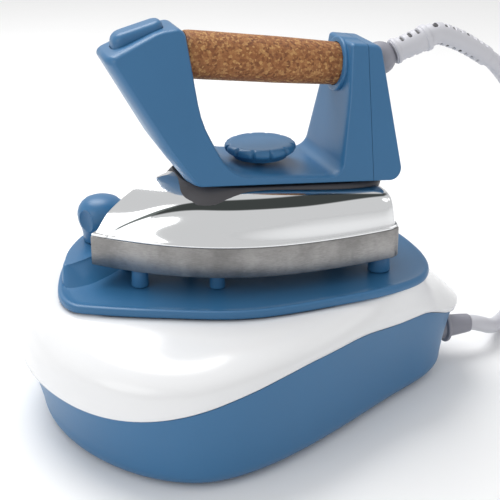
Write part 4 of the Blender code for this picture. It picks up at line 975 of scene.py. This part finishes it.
def handle_mesh():
    """The whole handle as one solid, from its left side to its right."""
    nose_top, nose_foot = Vector(HANDLE_CORNERS[0][:2]), Vector(HANDLE_CORNERS[2][:2])
    inward = Vector((nose_top.y - nose_foot.y, nose_foot.x - nose_top.x)).normalized()
    sections = [(0.66, 0.0), (0.84, 0.0), (0.90, 0.12), (0.94, 0.40), (0.97, 0.80), (0.99, 1.15),
                (1.0, 1.5)]
    rings = []
    for share, inset in [(-s, i) for s, i in reversed(sections)] + sections:
        ring = []
        for point in rounded_outline(inset_corners(inset)):
            depth = (point - nose_top).dot(inward)
            spot = point + Vector((7.0 * share * share * (1 - smooth(depth, 0, 24)), 0))
            ring.append((spot.x, share * handle_half_width(spot.y), spot.y))
        rings.append(ring)
    return skin(bmesh.new(), rings)


def pill_ring(grow, middle_height, steps=10):
    """A ring of the steam button, sloping up towards the grip."""
    ring = []
    radius = 7.0 + grow
    for corner, (sx, sy) in enumerate(((1, 1), (-1, 1), (-1, -1), (1, -1))):
        for step in range(steps + 1):
            angle = math.radians(90 * corner + 90 * step / steps)
            x = sx * (16.75 + grow - radius) + radius * math.cos(angle)
            y = sy * (9.7 + grow - radius) + radius * math.sin(angle)
            ring.append((BUTTON_X + x, y, middle_height + 0.27 * x))
    return ring


body = piece("handle_front", handle_mesh(), "blue_plastic", "iron", ("handle_body",))
rear = piece("handle_back_cover", handle_mesh(), "blue_plastic", "iron", ("handle_rear_cover",))
collar = lathe(bmesh.new(), eased([(0.1, -7.5), (18.6, -7.5), (18.6, 7.5), (0.1, 7.5)], 1.8, 6),
               GRIP_CENTRE + GRIP_AXIS * 59.5, GRIP_AXIS, 72)
carve(body, [tool(collar)], "UNION")
grip_bore = [(REAR_RADIUS + 0.4, 56.4), (FRONT_RADIUS + 0.4, -56.4)]
button_well = [pill_ring(0.4, BUTTON_TOP - BUTTON_DEPTH - 3.6), pill_ring(0.4, BUTTON_TOP + 8.0)]
carve(body, [tool(block(bmesh.new(), (80, 200, 260), (SPLIT_X + 40, 0, 220))),
             tool(lathe(bmesh.new(), grip_bore, GRIP_CENTRE, GRIP_AXIS, 72)),
             tool(lathe(bmesh.new(), [(4.3, -69), (4.3, 69)], GRIP_CENTRE, GRIP_AXIS, 24)),
             tool(skin(bmesh.new(), button_well)),
             tool(lathe(bmesh.new(), [(4.8, -12.5), (4.8, 12.5)], (BUTTON_X, 0, 250), segments=24)),
             tool(lathe(bmesh.new(), [(3.6, 122), (3.6, 182)], (DIAL_X, 0, 0), segments=32)),
             tool(lathe(bmesh.new(), [(2.5, 122), (2.5, 182)], (-28, 0, 0), segments=24))])
carve(rear, [tool(block(bmesh.new(), (240, 200, 260), (SPLIT_X + GAP - 120, 0, 220))),
             tool(lathe(bmesh.new(), arc_profile(BALL_RADIUS + 0.4, 20), HOSE_BALL, segments=48)),
             tool(block(bmesh.new(), (11, 22, 54), (SPLIT_X + 5.4, 0, 199), bevel=2.0)),
             tool(lathe(bmesh.new(), [(3.6, 145), (3.6, 215)], (86, 0, 0), segments=24))])

h = GRIP_LENGTH / 2
mid = (FRONT_RADIUS + REAR_RADIUS) / 2 + 0.35
cork_profile = [(REAR_RADIUS - 4.0, h), (REAR_RADIUS - 1.4, h - 1.2), (REAR_RADIUS - 0.4, h - 2.6),
                (REAR_RADIUS, h - 4.5), (REAR_RADIUS + 0.45, h - 20), (mid, 10), (mid + 0.1, -10),
                (FRONT_RADIUS, -h + 18), (FRONT_RADIUS, -h + 4), (FRONT_RADIUS - 0.3, -h + 1.0),
                (FRONT_RADIUS - 1.0, -h), (4.3, -h), (4.3, h)]
cork = lathe(bmesh.new(), cork_profile, GRIP_CENTRE, GRIP_AXIS, 96, ring=True)
piece("cork_sleeve", cork, "cork", "iron", ("cork_grip",), crease=50.0)

button = skin(bmesh.new(), [pill_ring(-inset, BUTTON_TOP - drop) for inset, drop in
                            ((1.0, BUTTON_DEPTH), (0.3, 12.4), (0, 11.8), (0, 5.0), (0.15, 3.8),
                             (0.6, 2.5), (1.4, 1.4), (2.4, 0.65), (3.6, 0.2), (5.0, 0.0))])
piece("steam_key", button, "blue_plastic", "button", ("steam_button",), crease=50.0)


def scallop(angle, radius, height):
    """Notches round the rim that fade towards the middle of the top and under the skirt."""
    edge = smooth(radius, 19.5, 22.5)
    notch = max(0.0, math.cos(12 * angle)) ** 6
    return 1 - 0.075 * notch * edge


dial_profile = [
    (0.1, DIAL_TOP - 0.35), (12, DIAL_TOP - 0.35), (18.0, DIAL_TOP - 0.2), (19.6, DIAL_TOP),
    (21.6, DIAL_TOP - 0.05), (23.0, DIAL_TOP - 0.6), (24.0, DIAL_TOP - 1.4), (24.5, DIAL_TOP - 2.6),
    (24.4, DIAL_TOP - 4.0), (23.8, DIAL_TOP - 5.3), (22.0, DIAL_TOP - 6.6), (19.5, DIAL_TOP - 7.9),
    (18.5, 177.2), (3.5, 177.2), (3.5, DIAL_TOP - 4), (0.1, DIAL_TOP - 4)]
dial = lathe(bmesh.new(), dial_profile, (DIAL_X, 0, 0), segments=288, wave=scallop)
piece("temperature_knob", dial, "blue_plastic", "dial", ("temperature_dial",), crease=40.0)

ball = lathe(bmesh.new(), arc_profile(BALL_RADIUS, 28), HOSE_BALL, sleeve_axis, 56)
piece("hose_swivel", ball, "grey_rubber", "iron", ("hose_ball",))


# ---- Floor ----

floor_finish = Finish("studio_floor", Roughness=0.9)
floor_finish.wear(Base_Color=floor_finish.between(floor_finish.noise(6.0), (0.93, 0.93, 0.93),
                                                  (0.95, 0.95, 0.95)))
floor_mesh = bmesh.new()
bmesh.ops.create_grid(floor_mesh, x_segments=2, y_segments=2, size=6.0)
floor_data = bpy.data.meshes.new("studio_floor")
floor_mesh.to_mesh(floor_data)
floor_data.materials.append(floor_finish.material)
floor = bpy.data.objects.new("studio_floor", floor_data)
floor.location.z = -0.0002
bpy.context.scene.collection.objects.link(floor)
